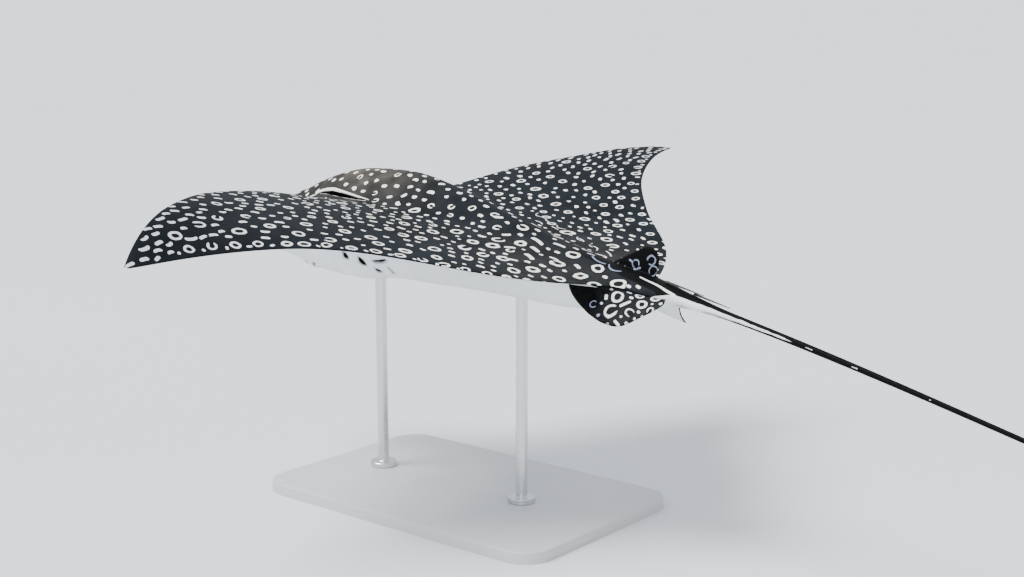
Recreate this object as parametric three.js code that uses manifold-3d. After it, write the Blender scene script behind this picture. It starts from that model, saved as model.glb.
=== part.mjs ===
// Spotted eagle ray: a still, life-size display model on a plain stand.
// Millimetres, +Z up. The ray's nose points along -Y, its left wing along +X.
// The origin is the centre of the stand base's underside.
//
// The body is one loft of rings from the snout to the tail's end. Wings, pelvic fins
// and the dorsal fin are double sheets that start on the body's own ring columns, so
// every part meets its neighbour on the same line, with a thin gap between the solids.

import * as THREE from 'three';
import Module from 'manifold-3d';
import { mergeVertices } from 'three/addons/utils/BufferGeometryUtils.js';

const wasm = await Module();
wasm.setup();

// ---- Driving dimensions ------------------------------------------------------------

const DISC = 1500;            // width of the disc, wing tip to wing tip, laid flat
const CENTRE_Y = 0.36;        // the stand's centre, this share of the disc behind the snout
const HEIGHT = 500;           // middle plane of the body above the floor
const PITCH = 4.2;            // degrees the nose is raised
const ROLL = 6.5;             // degrees the left side is raised
const GAP = 0.3;              // gap between neighbouring solids

const RING_ANGLES = [0, 18, 36, 54, 72, 90, 101, 120, 140, 160, 180];  // ring columns, degrees
const PELVIC_COLUMN = 101;    // the ring column on which the pelvic fins start
const WING_ROWS = 17;         // steps along a wing's span
const FIN_ROWS = 6;           // steps across a small fin

// Places along the body, as shares of the disc width behind the snout tip
const SNOUT_END = 0.066;
const WING_FRONT = 0.136;
const HEAD_END = 0.200;
const PELVIC_FRONT = 0.566;
const DORSAL_FRONT = 0.590;
const WING_REAR = 0.622;
const DORSAL_REAR = 0.653;
const PELVIC_REAR = 0.662;
const TRUNK_END = 0.690;
const TAIL_JOINS = [1.10, 1.62, 2.18];
const TAIL_END = 2.76;

// Body rings, as shares of the disc width: place, top, side line, underside, half width
const BODY = [
  [0.000, -0.051, -0.053, -0.055, 0.002],
  [0.006, -0.045, -0.052, -0.060, 0.022],
  [0.020, -0.037, -0.050, -0.065, 0.036],
  [0.042, -0.022, -0.045, -0.067, 0.0435],
  [0.060, 0.001, -0.036, -0.068, 0.0430],
  [0.074, 0.023, -0.025, -0.070, 0.0472],
  [0.092, 0.030, -0.012, -0.073, 0.052],
  [0.118, 0.044, -0.003, -0.076, 0.059],
  [0.136, 0.052, 0.000, -0.077, 0.061],
  [0.200, 0.071, 0.000, -0.075, 0.066],
  [0.266, 0.0755, 0.000, -0.063, 0.071],
  [0.330, 0.068, 0.000, -0.058, 0.073],
  [0.430, 0.047, 0.000, -0.051, 0.069],
  [0.530, 0.026, 0.000, -0.047, 0.059],
  [0.600, 0.0165, -0.003, -0.036, 0.047],
  [0.660, 0.0115, -0.004, -0.019, 0.028],
  [0.700, 0.0080, 0.000, -0.0095, 0.0130],
  [0.760, 0.0046, 0.000, -0.0050, 0.0050],
  [0.860, 0.0038, 0.000, -0.0038, 0.0038],
  [1.100, 0.0027, 0.000, -0.0027, 0.0027],
  [1.620, 0.0020, 0.000, -0.0020, 0.0020],
  [2.180, 0.0015, 0.000, -0.0015, 0.0015],
  [2.760, 0.0009, 0.000, -0.0009, 0.0009],
];

// How far the rings open out into the wings: 0 is a closed oval, 1 a bell
const OPENING = [[0.09, 0], [0.17, 1], [0.54, 1], [0.67, 0]];
// How square the bell's shoulders are, above and below
const SHOULDER_TOP = [[0.13, 2.0], [0.30, 1.05], [0.60, 1.0]];
const SHOULDER_UNDER = [[0.13, 1.9], [0.30, 1.6], [0.60, 1.3]];

// Wing outline, laid flat: edge places along the body at even steps of the span
const WING_ROOT_X = 0.072;
const LEADING_EDGE = [0.1365, 0.1695, 0.2047, 0.2688, 0.3273];
const TRAILING_EDGE = [0.622, 0.562, 0.4716, 0.403, 0.3622, 0.3343];
// Rise of each wing's edges, in degrees, at even steps of the span
const WING_RISE = {
  left: { front: [25.1, 3.9, -3.2, -49.4], rear: [-4.5, 4.7, -9.7, -14.8] },
  right: { front: [25.8, 20.5, 20.5, 5.5], rear: [12.8, 24.9, 17.5, 2.7] },
};
const WING_TOP = { tip: 2.0, blade: 11, root: 37 };     // half thickness above, mm
const WING_UNDER = { tip: 2.0, blade: 8, root: 34 };    // half thickness below, mm
const EDGE_HALF = 1.5;                                  // half thickness of a rear edge

// Pelvic fins' free edges from front to rear: share of the edge, x, place, z; the left
// fin is spread and the right one curls in behind its tip
const PELVIC_EDGE = {
  left: [
    [0.00, 0.0645, 0.6120, -0.0366],
    [0.15, 0.0675, 0.6340, -0.0422],
    [0.30, 0.0673, 0.6480, -0.0431],
    [0.42, 0.0650, 0.6590, -0.0409],
    [0.60, 0.0540, 0.6746, -0.0288],
    [0.80, 0.0440, 0.6870, -0.0177],
    [0.93, 0.0373, 0.6925, -0.0100],
    [1.00, 0.0332, 0.6915, -0.0053],
  ],
  right: [
    [0.00, 0.0640, 0.6180, -0.0366],
    [0.20, 0.0672, 0.6410, -0.0418],
    [0.42, 0.0674, 0.6600, -0.0440],
    [0.56, 0.0600, 0.6562, -0.0350],
    [0.70, 0.0530, 0.6570, -0.0270],
    [0.85, 0.0440, 0.6720, -0.0160],
    [1.00, 0.0340, 0.6900, -0.0060],
  ],
};
const PELVIC_BOW = { out: 0.05, front: 0.005 };   // roundness of the front edge
const PELVIC_HALF = 4.0;

// Dorsal fin: places and height of its free edge, shares of the disc
const DORSAL_TIP = { front: 0.627, rear: 0.649, height: 0.040 };
const DORSAL_HALF = 3.6;

// Tail line beyond the body: distance behind TAIL_START and its slopes in degrees
const TAIL_START = 0.64;
const TAIL_RISE = [[0, -5.6], [0.44, -9.2], [0.80, -4.0], [1.35, 3.0], [2.15, 6.0]];
const TAIL_SWAY = [[0, 1.1], [0.44, 1.1], [0.95, -5.0], [1.5, -3.0], [2.15, 7.0]];

const EYE = { radius: 14, x: 0.0495, place: 0.1145, z: 0.006 };

// Stinging spines on the tail's root: places of base and tip, shares of the disc
const SPINES = [
  { name: 'spine_1', base: 0.668, tip: 0.720, side: 0.0014, width: 9.0 },
  { name: 'spine_2', base: 0.706, tip: 0.754, side: -0.0012, width: 8.0 },
];
const SPINE_THICK = 4.0;
const SPINE_LIFT = -0.6;      // degrees each spine stands off the tail
const SPINE_TEETH = 9;

const BASE = { length: 680, width: 440, height: 22, corner: 55 };
const ROD = { radius: 11, places: [0.215, 0.455] };
const COLLAR = { radius: 26, height: 10 };

// ---- Small helpers -----------------------------------------------------------------

const rad = THREE.MathUtils.degToRad;
const mix = THREE.MathUtils.lerp;
const ease = (x, a, b) => THREE.MathUtils.smoothstep(x, a, b);

// A smooth curve through rows [x, value], that never overshoots its knots
function curve(rows, column = 1) {
  const xs = rows.map((row) => row[0]);
  const ys = rows.map((row) => row[column]);
  const last = xs.length - 1;
  const secant = xs.slice(1).map((x, i) => (ys[i + 1] - ys[i]) / (x - xs[i]));
  const slope = ys.map((_, i) => {
    if (i === 0) return secant[0];
    if (i === last) return secant[last - 1];
    const product = secant[i - 1] * secant[i];
    return product <= 0 ? 0 : (2 * product) / (secant[i - 1] + secant[i]);
  });
  return (x) => {
    if (x <= xs[0]) return ys[0];
    if (x >= xs[last]) return ys[last];
    const i = xs.findIndex((knot) => knot > x) - 1;
    const width = xs[i + 1] - xs[i];
    const t = (x - xs[i]) / width;
    const start = (1 + 2 * t) * (1 - t) ** 2 * ys[i] + t * (1 - t) ** 2 * width * slope[i];
    const end = t * t * (3 - 2 * t) * ys[i + 1] + t * t * (t - 1) * width * slope[i + 1];
    return start + end;
  };
}

// The same, through values at even steps from 0 to 1
const evenCurve = (values) => curve(values.map((value, i) => [i / (values.length - 1), value]));

// A wing section's half thickness along its chord, 1 at a third of the way back
const section = (c) => (Math.sqrt(c) * (1 - c)) / 0.3849;

const vec = (x, y, z) => new THREE.Vector3(x, y, z);
const alongBody = (place) => (place - CENTRE_Y) * DISC;

// Collects triangles between points, welds equal points and drops empty triangles
class Shell {
  constructor() {
    this.points = [];
    this.index = new Map();
    this.triangles = [];
  }

  add(point) {
    const key = [point.x, point.y, point.z].map((value) => Math.round(value * 1e4)).join();
    if (!this.index.has(key)) {
      this.index.set(key, this.points.length);
      this.points.push(point);
    }
    return this.index.get(key);
  }

  triangle(a, b, c) {
    const corners = [a, b, c].map((point) => this.add(point));
    if (new Set(corners).size === 3) this.triangles.push(corners);
  }

  // A four-sided face, split along its shorter diagonal
  quad(a, b, c, d) {
    if (a.distanceTo(c) <= b.distanceTo(d)) {
      this.triangle(a, b, c);
      this.triangle(a, c, d);
    } else {
      this.triangle(a, b, d);
      this.triangle(b, c, d);
    }
  }

  // Joins two rows of points of the same length
  strip(row, next) {
    for (let i = 0; i + 1 < row.length; i++) this.quad(row[i], row[i + 1], next[i + 1], next[i]);
  }

  // Closes a loop of points with a fan round its middle
  cap(loop) {
    const middle = loop.reduce((sum, point) => sum.add(point), vec(0, 0, 0));
    middle.divideScalar(loop.length);
    loop.forEach((point, i) => this.triangle(point, loop[(i + 1) % loop.length], middle));
  }

  geometry() {
    const volume = this.triangles.reduce((sum, [a, b, c]) => {
      const [p, q, r] = [a, b, c].map((i) => this.points[i]);
      return sum + p.dot(q.clone().cross(r));
    }, 0);
    const order = volume > 0 ? this.triangles : this.triangles.map(([a, b, c]) => [a, c, b]);
    const geometry = new THREE.BufferGeometry();
    const position = this.points.flatMap((point) => [point.x, point.y, point.z]);
    geometry.setAttribute('position', new THREE.Float32BufferAttribute(position, 3));
    geometry.setIndex(order.flat());
    return geometry;
  }
}

// ---- Body rings --------------------------------------------------------------------

const bodyTop = curve(BODY, 1);
const bodySide = curve(BODY, 2);
const bodyUnder = curve(BODY, 3);
const bodyHalf = curve(BODY, 4);
const opening = curve(OPENING);
const shoulderTop = curve(SHOULDER_TOP);
const shoulderUnder = curve(SHOULDER_UNDER);
const tailRise = curve(TAIL_RISE);
const tailSway = curve(TAIL_SWAY);

// Offset of the tail's middle line, walked back from the body in small steps
function tailLine(place) {
  const steps = 64;
  const length = Math.max(0, place - TAIL_START);
  let x = 0;
  let z = 0;
  for (let i = 0; i < steps; i++) {
    const middle = ((i + 0.5) / steps) * length;
    x += (Math.tan(rad(tailSway(middle))) * length) / steps;
    z += (Math.tan(rad(tailRise(middle))) * length) / steps;
  }
  return { x, z };
}

// Chord position of a fin root that runs between two places
const rootChord = (place, front, rear) => THREE.MathUtils.clamp((place - front) / (rear - front), 0, 1);

const bell = (u, shoulder) => (1 + Math.cos(Math.PI * u ** shoulder)) / 2;

// One point of the left half of the ring, at an angle from the top (0) to the bottom (180).
// `copy` is +1 for the upper and -1 for the lower copy of a column that a fin splits.
function ringPoint(place, angle, copy = 0) {
  const upper = angle < 90 || (angle === 90 && copy > 0);
  const turn = angle <= 90 ? angle / 90 : (180 - angle) / 90;
  const open = opening(place);
  const wingChord = section(rootChord(place, WING_FRONT, WING_REAR));
  const u = mix(Math.sin((turn * Math.PI) / 2), turn, open);
  const shoulder = upper ? shoulderTop(place) : shoulderUnder(place);
  const height = mix(Math.cos((turn * Math.PI) / 2), bell(u, shoulder), open);
  const thick = upper ? WING_TOP : WING_UNDER;
  const root = ((thick.tip + thick.blade + thick.root) * wingChord * (upper ? 1 : -1)) / DISC;
  const side = bodySide(place) + root;
  let z = (side + ((upper ? bodyTop(place) : bodyUnder(place)) - side) * height) * DISC;
  let x = bodyHalf(place) * DISC * u;
  if (angle === 0) x = DORSAL_HALF * section(rootChord(place, DORSAL_FRONT, DORSAL_REAR));
  if (angle === PELVIC_COLUMN) {
    z += (copy - 1) * PELVIC_HALF * section(rootChord(place, PELVIC_FRONT, PELVIC_REAR));
  }
  return { x, z };
}

// Angles and copies of the left half ring's columns, from the top line to the bottom line
const HALF_RING = RING_ANGLES.flatMap((angle) => {
  const split = angle === 90 || angle === PELVIC_COLUMN;
  return split ? [{ angle, copy: 1 }, { angle, copy: -1 }] : [{ angle, copy: 0 }];
});

// The whole ring as a loop of points, left side down and right side up
function ring(place, shift = 0) {
  const line = tailLine(place);
  const half = HALF_RING.map(({ angle, copy }) => ringPoint(place, angle, copy));
  const at = (point, side) => {
    const x = side * point.x + line.x * DISC;
    return vec(x, alongBody(place) + shift, point.z + line.z * DISC);
  };
  const left = half.map((point) => at(point, 1));
  const right = half.slice(0, -1).reverse().map((point) => at(point, -1));
  return [...left, ...right];
}

// Even places between two ends, the first end left out
function steps(from, to, count) {
  return Array.from({ length: count }, (_, i) => mix(from, to, (i + 1) / count));
}

const WING_FRONT_PLACES = [0.1385, 0.144, 0.153, 0.166, 0.182, HEAD_END];
const PLACES = {
  snout: [0, 0.004, 0.011, 0.021, 0.035, 0.050, SNOUT_END],
  head: [SNOUT_END, ...steps(SNOUT_END, WING_FRONT, 5), ...WING_FRONT_PLACES],
  trunk: [
    HEAD_END, ...steps(HEAD_END, PELVIC_FRONT, 11), ...steps(PELVIC_FRONT, DORSAL_FRONT, 2),
    ...steps(DORSAL_FRONT, WING_REAR, 3), ...steps(WING_REAR, DORSAL_REAR, 2),
    PELVIC_REAR, 0.676, TRUNK_END,
  ],
  tail_1: [TRUNK_END, 0.705, 0.722, 0.742, 0.765, ...steps(0.765, TAIL_JOINS[0], 6)],
  tail_2: [TAIL_JOINS[0], ...steps(TAIL_JOINS[0], TAIL_JOINS[1], 7)],
  tail_3: [TAIL_JOINS[1], ...steps(TAIL_JOINS[1], TAIL_JOINS[2], 7)],
  tail_4: [TAIL_JOINS[2], ...steps(TAIL_JOINS[2], TAIL_END, 7)],
};

// A length of the body between two places, closed at both ends, with half a gap at each
// join; the snout's own end is none
function bodyLength(places) {
  const shell = new Shell();
  const last = places.length - 1;
  const inset = (i) => (i === 0 && places[0] > 0 ? GAP / 2 : i === last ? -GAP / 2 : 0);
  const rings = places.map((place, i) => ring(place, inset(i)));
  rings.slice(1).forEach((next, i) => {
    shell.strip([...rings[i], rings[i][0]], [...next, next[0]]);
  });
  shell.cap(rings[0].slice().reverse());
  shell.cap(rings[last]);
  return shell.geometry();
}

// ---- Fins --------------------------------------------------------------------------

// A closed double sheet. upper and lower are rows of points from the root to the tip,
// each row running from the leading to the trailing edge.
function sheet(upper, lower) {
  const shell = new Shell();
  const last = upper.length - 1;
  const end = upper[0].length - 1;
  for (let i = 0; i < last; i++) {
    shell.strip(upper[i], upper[i + 1]);
    shell.strip(lower[i + 1], lower[i]);
    shell.quad(upper[i][end], lower[i][end], lower[i + 1][end], upper[i + 1][end]);
  }
  shell.strip(lower[0], upper[0]);
  shell.strip(upper[last], lower[last]);
  return shell.geometry();
}

// Points of a wing's edge, laid out by walking outwards at the slopes given
function wingEdge(slopes) {
  const rise = evenCurve(slopes);
  const count = 60;
  const stride = ((0.5 - WING_ROOT_X) * DISC) / count;
  const walk = [vec(WING_ROOT_X * DISC, 0, 0)];
  for (let i = 0; i < count; i++) {
    const angle = rad(rise((i + 0.5) / count));
    const from = walk[i];
    walk.push(vec(from.x + Math.cos(angle) * stride, 0, from.z + Math.sin(angle) * stride));
  }
  return (s) => {
    const i = Math.min(count - 1, Math.floor(s * count));
    return walk[i].clone().lerp(walk[i + 1], s * count - i);
  };
}

const wingPlaces = [...PLACES.head, ...PLACES.trunk.slice(1)].filter(
  (place) => place >= WING_FRONT - 1e-9 && place <= WING_REAR + 1e-9,
);
const leadingEdge = evenCurve(LEADING_EDGE);
const trailingEdge = evenCurve(TRAILING_EDGE);

function wing(name, side) {
  const front = wingEdge(WING_RISE[name].front);
  const rear = wingEdge(WING_RISE[name].rear);
  const frontRise = evenCurve(WING_RISE[name].front);
  const rearRise = evenCurve(WING_RISE[name].rear);
  const tip = front(1).lerp(rear(1), 0.5);
  const pull = (edge, s) => edge(s).lerp(edge(s).add(tip).sub(edge(1)), s * s);

  // A point of the upper (+1) or lower (-1) face, s along the span and c along the chord
  const facePoint = (s, rootC, place, face) => {
    const even = rootC.index / (wingPlaces.length - 1);
    const c = mix(rootC.value, even, ease(s, 0, 0.8));
    const middle = pull(front, s).lerp(pull(rear, s), c);
    const spread = mix(leadingEdge(s), trailingEdge(s), c);
    middle.x += (bodyHalf(place) - WING_ROOT_X) * DISC * (1 - s) ** 12;
    const thick = face > 0 ? WING_TOP : WING_UNDER;
    const full = thick.tip + thick.blade * (1 - s) + thick.root * (1 - s) ** 5;
    const edgeHalf = EDGE_HALF * c ** 4 * ease(s, 0, 0.1);
    const half = full * section(c) + edgeHalf;
    const tilt = rad(mix(frontRise(s), rearRise(s), c)) * ease(s, 0, 0.25);
    const x = middle.x - Math.sin(tilt) * half * face + (s === 0 ? GAP : 0);
    return vec(side * x, alongBody(spread), middle.z + Math.cos(tilt) * half * face);
  };

  const row = (s, face) => wingPlaces.map((place, index) => {
    const value = rootChord(place, WING_FRONT, WING_REAR);
    return facePoint(s, { value, index }, place, face);
  });
  const spans = [0, ...steps(0, 1, WING_ROWS)].map((t) => mix(t, t * t, 0.35));
  return sheet(spans.map((s) => row(s, 1)), spans.map((s) => row(s, -1)));
}

const placesBetween = (front, rear) => PLACES.trunk.filter(
  (place) => place >= front - 1e-9 && place <= rear + 1e-9,
);

function pelvicFin(name, side) {
  const places = placesBetween(PELVIC_FRONT, PELVIC_REAR);
  const edge = [1, 2, 3].map((column) => curve(PELVIC_EDGE[name], column));
  const row = (s, face) => places.map((place) => {
    const c = rootChord(place, PELVIC_FRONT, PELVIC_REAR);
    const root = ringPoint(place, PELVIC_COLUMN, face);
    const [edgeX, edgePlace, edgeZ] = edge.map((coordinate) => coordinate(c));
    const bow = Math.sin(Math.PI * s) * (1 - c);
    const half = (PELVIC_HALF * (1 - s) + 1) * section(c) + EDGE_HALF * c ** 3 * ease(s, 0, 0.3);
    const line = tailLine(place);
    const rootX = root.x + side * line.x * DISC;
    const rootZ = root.z + line.z * DISC - face * PELVIC_HALF * section(c);
    const x = mix(rootX, edgeX * DISC, s + PELVIC_BOW.out * bow);
    const forward = PELVIC_BOW.front * DISC * bow * (1 - c);
    const y = mix(alongBody(place), alongBody(edgePlace), s) - forward;
    const z = mix(rootZ, edgeZ * DISC, s) + face * (s === 0 ? PELVIC_HALF * section(c) : half);
    return vec(side * (x + (s === 0 ? GAP : 0)), y, z);
  });
  const spans = [0, ...steps(0, 1, FIN_ROWS)];
  return sheet(spans.map((s) => row(s, 1)), spans.map((s) => row(s, -1)));
}

function dorsalFin() {
  const places = placesBetween(DORSAL_FRONT, DORSAL_REAR);
  const row = (s, face) => places.map((place) => {
    const c = rootChord(place, DORSAL_FRONT, DORSAL_REAR);
    const free = mix(DORSAL_TIP.front, DORSAL_TIP.rear, c) + 0.006 * Math.sin(Math.PI * s) * c;
    const bulge = 0.004 * 4 * c * (1 - c);
    const half = (DORSAL_HALF * (1 - s) + 1) * section(c) + EDGE_HALF * c ** 3 * ease(s, 0, 0.3);
    const line = tailLine(place);
    const x = face * (s === 0 ? DORSAL_HALF * section(c) : half) + line.x * DISC;
    const y = alongBody(mix(place, free, s));
    const rootZ = (bodyTop(place) + line.z) * DISC + (s === 0 ? GAP : 0);
    return vec(x, y, mix(rootZ, (DORSAL_TIP.height + bulge) * DISC, s));
  });
  const spans = [0, ...steps(0, 1, FIN_ROWS)];
  return sheet(spans.map((s) => row(s, 1)), spans.map((s) => row(s, -1)));
}

// ---- Cutting -----------------------------------------------------------------------

function toSolid(geometry) {
  const bare = geometry.clone();
  bare.deleteAttribute('normal');
  bare.deleteAttribute('uv');
  const merged = mergeVertices(bare, 1e-4);
  return new wasm.Manifold(new wasm.Mesh({
    numProp: 3,
    vertProperties: new Float32Array(merged.attributes.position.array),
    triVerts: new Uint32Array(merged.index.array),
  }));
}

function toGeometry(solid) {
  const mesh = solid.getMesh();
  const geometry = new THREE.BufferGeometry();
  geometry.setAttribute('position', new THREE.BufferAttribute(mesh.vertProperties, 3));
  geometry.setIndex(new THREE.BufferAttribute(mesh.triVerts, 1));
  return geometry;
}

// ---- Eyes and spines ---------------------------------------------------------------

const eyeCentre = (side) => vec(side * EYE.x * DISC, alongBody(EYE.place), EYE.z * DISC);

function eyeBall(side, radius) {
  const ball = new THREE.IcosahedronGeometry(radius, 3);
  return ball.translate(...eyeCentre(side).toArray());
}

function head() {
  let solid = toSolid(bodyLength(PLACES.head));
  for (const side of [1, -1]) solid = solid.subtract(toSolid(eyeBall(side, EYE.radius + 2 * GAP)));
  return toGeometry(solid);
}

// A flat barbed blade, from its base to its tip, along the tail's top
function spine({ base, tip, side, width }) {
  const shell = new Shell();
  const count = SPINE_TEETH * 2;
  const start = tailLine(base);
  const floor = bodyTop(base) * DISC + start.z * DISC + 2 * GAP;
  const length = (tip - base) * DISC;
  const rise = tailRise(base - TAIL_START) + SPINE_LIFT;
  const loops = Array.from({ length: count + 1 }, (_, i) => {
    const t = i / count;
    const barb = i % 2 === 0 ? 1 : 0.72;
    const half = (width / 2) * barb * (1 - t ** 2.2) + 0.4;
    const thick = SPINE_THICK * (1 - 0.6 * t);
    const x = (start.x + side) * DISC;
    const y = alongBody(base) + t * length;
    const z = floor + t * length * Math.tan(rad(rise));
    return [vec(x - half, y, z + 0.3), vec(x, y, z + thick), vec(x + half, y, z + 0.3), vec(x, y, z)];
  });
  loops.slice(1).forEach((next, i) => {
    shell.strip([...loops[i], loops[i][0]], [...next, next[0]]);
  });
  shell.cap(loops[0].slice().reverse());
  shell.cap(loops[count]);
  return shell.geometry();
}

// ---- The posed ray -----------------------------------------------------------------

const skin = new THREE.MeshStandardMaterial({ color: '#2b2e33', roughness: 0.45, metalness: 0 });
const tailSkin = new THREE.MeshStandardMaterial({ color: '#101114', roughness: 0.45, metalness: 0 });
const eyeGloss = new THREE.MeshStandardMaterial({ color: '#0a0a0c', roughness: 0.08, metalness: 0 });
const dentine = new THREE.MeshStandardMaterial({ color: '#3a342c', roughness: 0.5, metalness: 0 });
const lacquer = new THREE.MeshStandardMaterial({ color: '#c4c5c6', roughness: 0.5, metalness: 0 });
const steel = new THREE.MeshStandardMaterial({ color: '#b9bcc0', roughness: 0.3, metalness: 1 });

function named(name, geometry, material) {
  const mesh = new THREE.Mesh(geometry, material);
  mesh.name = name;
  return mesh;
}

const ray = new THREE.Group();
ray.rotation.set(rad(-PITCH), rad(-ROLL), 0, 'YXZ');
ray.position.set(0, 0, HEIGHT);
ray.updateMatrix();

const trunkGeometry = bodyLength(PLACES.trunk);
const headGeometry = head();
ray.add(
  named('snout', bodyLength(PLACES.snout), skin),
  named('head', headGeometry, skin),
  named('trunk', trunkGeometry, skin),
  named('left_wing', wing('left', 1), skin),
  named('right_wing', wing('right', -1), skin),
  named('left_pelvic_fin', pelvicFin('left', 1), skin),
  named('right_pelvic_fin', pelvicFin('right', -1), skin),
  named('dorsal_fin', dorsalFin(), skin),
  named('left_eye', eyeBall(1, EYE.radius), eyeGloss),
  named('right_eye', eyeBall(-1, EYE.radius), eyeGloss),
);
for (const length of ['tail_1', 'tail_2', 'tail_3', 'tail_4']) {
  ray.add(named(length, bodyLength(PLACES[length]), tailSkin));
}
for (const blade of SPINES) ray.add(named(blade.name, spine(blade), dentine));

// ---- The stand ---------------------------------------------------------------------

function standBase() {
  const halfX = BASE.width / 2;
  const halfY = BASE.length / 2;
  const r = BASE.corner;
  const outline = new THREE.Shape();
  outline.moveTo(-halfX + r, -halfY);
  outline.lineTo(halfX - r, -halfY);
  outline.absarc(halfX - r, -halfY + r, r, -Math.PI / 2, 0);
  outline.absarc(halfX - r, halfY - r, r, 0, Math.PI / 2);
  outline.absarc(-halfX + r, halfY - r, r, Math.PI / 2, Math.PI);
  outline.absarc(-halfX + r, -halfY + r, r, Math.PI, 1.5 * Math.PI);
  return new THREE.ExtrudeGeometry(outline, { depth: BASE.height, bevelEnabled: false, curveSegments: 8 });
}

const posed = (geometry) => geometry.clone().applyMatrix4(ray.matrix).translate(0, 0, -GAP);

// A rod with a collar at its foot, cut off along the belly
function standRod(place) {
  const y = alongBody(place);
  const foot = BASE.height + GAP;
  const profile = [
    [0, foot], [COLLAR.radius, foot], [COLLAR.radius, foot + COLLAR.height],
    [ROD.radius, foot + COLLAR.height], [ROD.radius, HEIGHT], [0, HEIGHT],
  ].map(([x, z]) => new THREE.Vector2(x, z));
  const rod = new THREE.LatheGeometry(profile, 24).rotateX(Math.PI / 2).translate(0, y, 0);
  const bodySolid = toSolid(posed(trunkGeometry)).add(toSolid(posed(headGeometry)));
  const pieces = toSolid(rod).subtract(bodySolid).decompose();
  const lowest = pieces.reduce((a, b) => (a.boundingBox().min[2] < b.boundingBox().min[2] ? a : b));
  return toGeometry(lowest);
}

const stand = new THREE.Group();
stand.add(
  named('stand_base', standBase(), lacquer),
  named('stand_rod_front', standRod(ROD.places[0]), steel),
  named('stand_rod_rear', standRod(ROD.places[1]), steel),
);

const model = new THREE.Group();
model.add(ray, stand);

export default model;
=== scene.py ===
"""Spotted eagle ray on a display stand: the finished model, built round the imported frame."""

import math

import bmesh
import bpy
import numpy as np
from mathutils import Matrix, Vector


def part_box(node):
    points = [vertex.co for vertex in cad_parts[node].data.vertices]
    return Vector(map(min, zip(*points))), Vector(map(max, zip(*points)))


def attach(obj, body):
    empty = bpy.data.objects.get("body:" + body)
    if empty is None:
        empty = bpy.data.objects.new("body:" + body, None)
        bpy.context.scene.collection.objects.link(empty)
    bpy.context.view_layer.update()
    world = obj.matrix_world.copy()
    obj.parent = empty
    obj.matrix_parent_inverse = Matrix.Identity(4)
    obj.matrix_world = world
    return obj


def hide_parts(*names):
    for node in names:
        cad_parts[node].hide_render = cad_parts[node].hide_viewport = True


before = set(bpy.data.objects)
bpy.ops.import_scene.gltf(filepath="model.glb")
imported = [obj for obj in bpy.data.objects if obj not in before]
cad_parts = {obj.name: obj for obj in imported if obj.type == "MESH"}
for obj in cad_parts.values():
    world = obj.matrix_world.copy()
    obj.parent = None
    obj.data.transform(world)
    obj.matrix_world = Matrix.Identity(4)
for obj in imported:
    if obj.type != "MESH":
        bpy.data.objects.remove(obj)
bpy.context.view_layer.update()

bl_info = {
    "name": "Spotted eagle ray display model",
    "version": (1, 0, 0),
    "blender": (4, 5, 0),
    "location": "3D View > Sidebar > Eagle ray",
    "description": "Builds a life-size spotted eagle ray on a plain display stand",
    "category": "Add Mesh",
}

MM = 0.001                    # the shape is worked out in millimetres, Blender works in metres

# ---- The ray's shape: the same sizes as the frame's solids --------------------------------

DISC = 1500.0                 # width of the disc, wing tip to wing tip, laid flat
CENTRE = 0.36                 # the stand's centre, as a share of the disc behind the snout
HEIGHT = 500.0                # middle plane of the body above the floor
PITCH, ROLL = 4.2, 6.5        # degrees the nose and the left side are raised

WING_FRONT, WING_REAR = 0.136, 0.622
PELVIC_FRONT, PELVIC_REAR = 0.566, 0.662
DORSAL_FRONT, DORSAL_REAR = 0.590, 0.653
TAIL_SLIM, TAIL_END = 0.760, 2.760
PELVIC_ANGLE = 101.0

# Body rings, shares of the disc: place behind the snout, top, side line, underside, half width
BODY = [
    [0.000, -0.051, -0.053, -0.055, 0.002],
    [0.006, -0.045, -0.052, -0.060, 0.022],
    [0.020, -0.037, -0.050, -0.065, 0.036],
    [0.042, -0.022, -0.045, -0.067, 0.0435],
    [0.060, 0.001, -0.036, -0.068, 0.0430],
    [0.074, 0.023, -0.025, -0.070, 0.0472],
    [0.092, 0.030, -0.012, -0.073, 0.052],
    [0.118, 0.044, -0.003, -0.076, 0.059],
    [0.136, 0.052, 0.000, -0.077, 0.061],
    [0.200, 0.071, 0.000, -0.075, 0.066],
    [0.266, 0.0755, 0.000, -0.063, 0.071],
    [0.330, 0.068, 0.000, -0.058, 0.073],
    [0.430, 0.047, 0.000, -0.051, 0.069],
    [0.530, 0.026, 0.000, -0.047, 0.059],
    [0.600, 0.0165, -0.003, -0.036, 0.047],
    [0.660, 0.0115, -0.004, -0.019, 0.028],
    [0.700, 0.0080, 0.000, -0.0095, 0.0130],
    [0.760, 0.0046, 0.000, -0.0050, 0.0050],
    [0.860, 0.0038, 0.000, -0.0038, 0.0038],
    [1.100, 0.0027, 0.000, -0.0027, 0.0027],
    [1.620, 0.0020, 0.000, -0.0020, 0.0020],
    [2.180, 0.0015, 0.000, -0.0015, 0.0015],
    [2.760, 0.0009, 0.000, -0.0009, 0.0009],
]
# How far the rings run out into the wings (0 is round), and how squarely they turn into them
OPENING = [[0.09, 0], [0.17, 1], [0.54, 1], [0.67, 0]]
SHOULDER_TOP = [[0.13, 2.0], [0.30, 1.05], [0.60, 1.0]]
SHOULDER_UNDER = [[0.13, 1.9], [0.30, 1.6], [0.60, 1.3]]
WING_ROOT = 0.072
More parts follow.
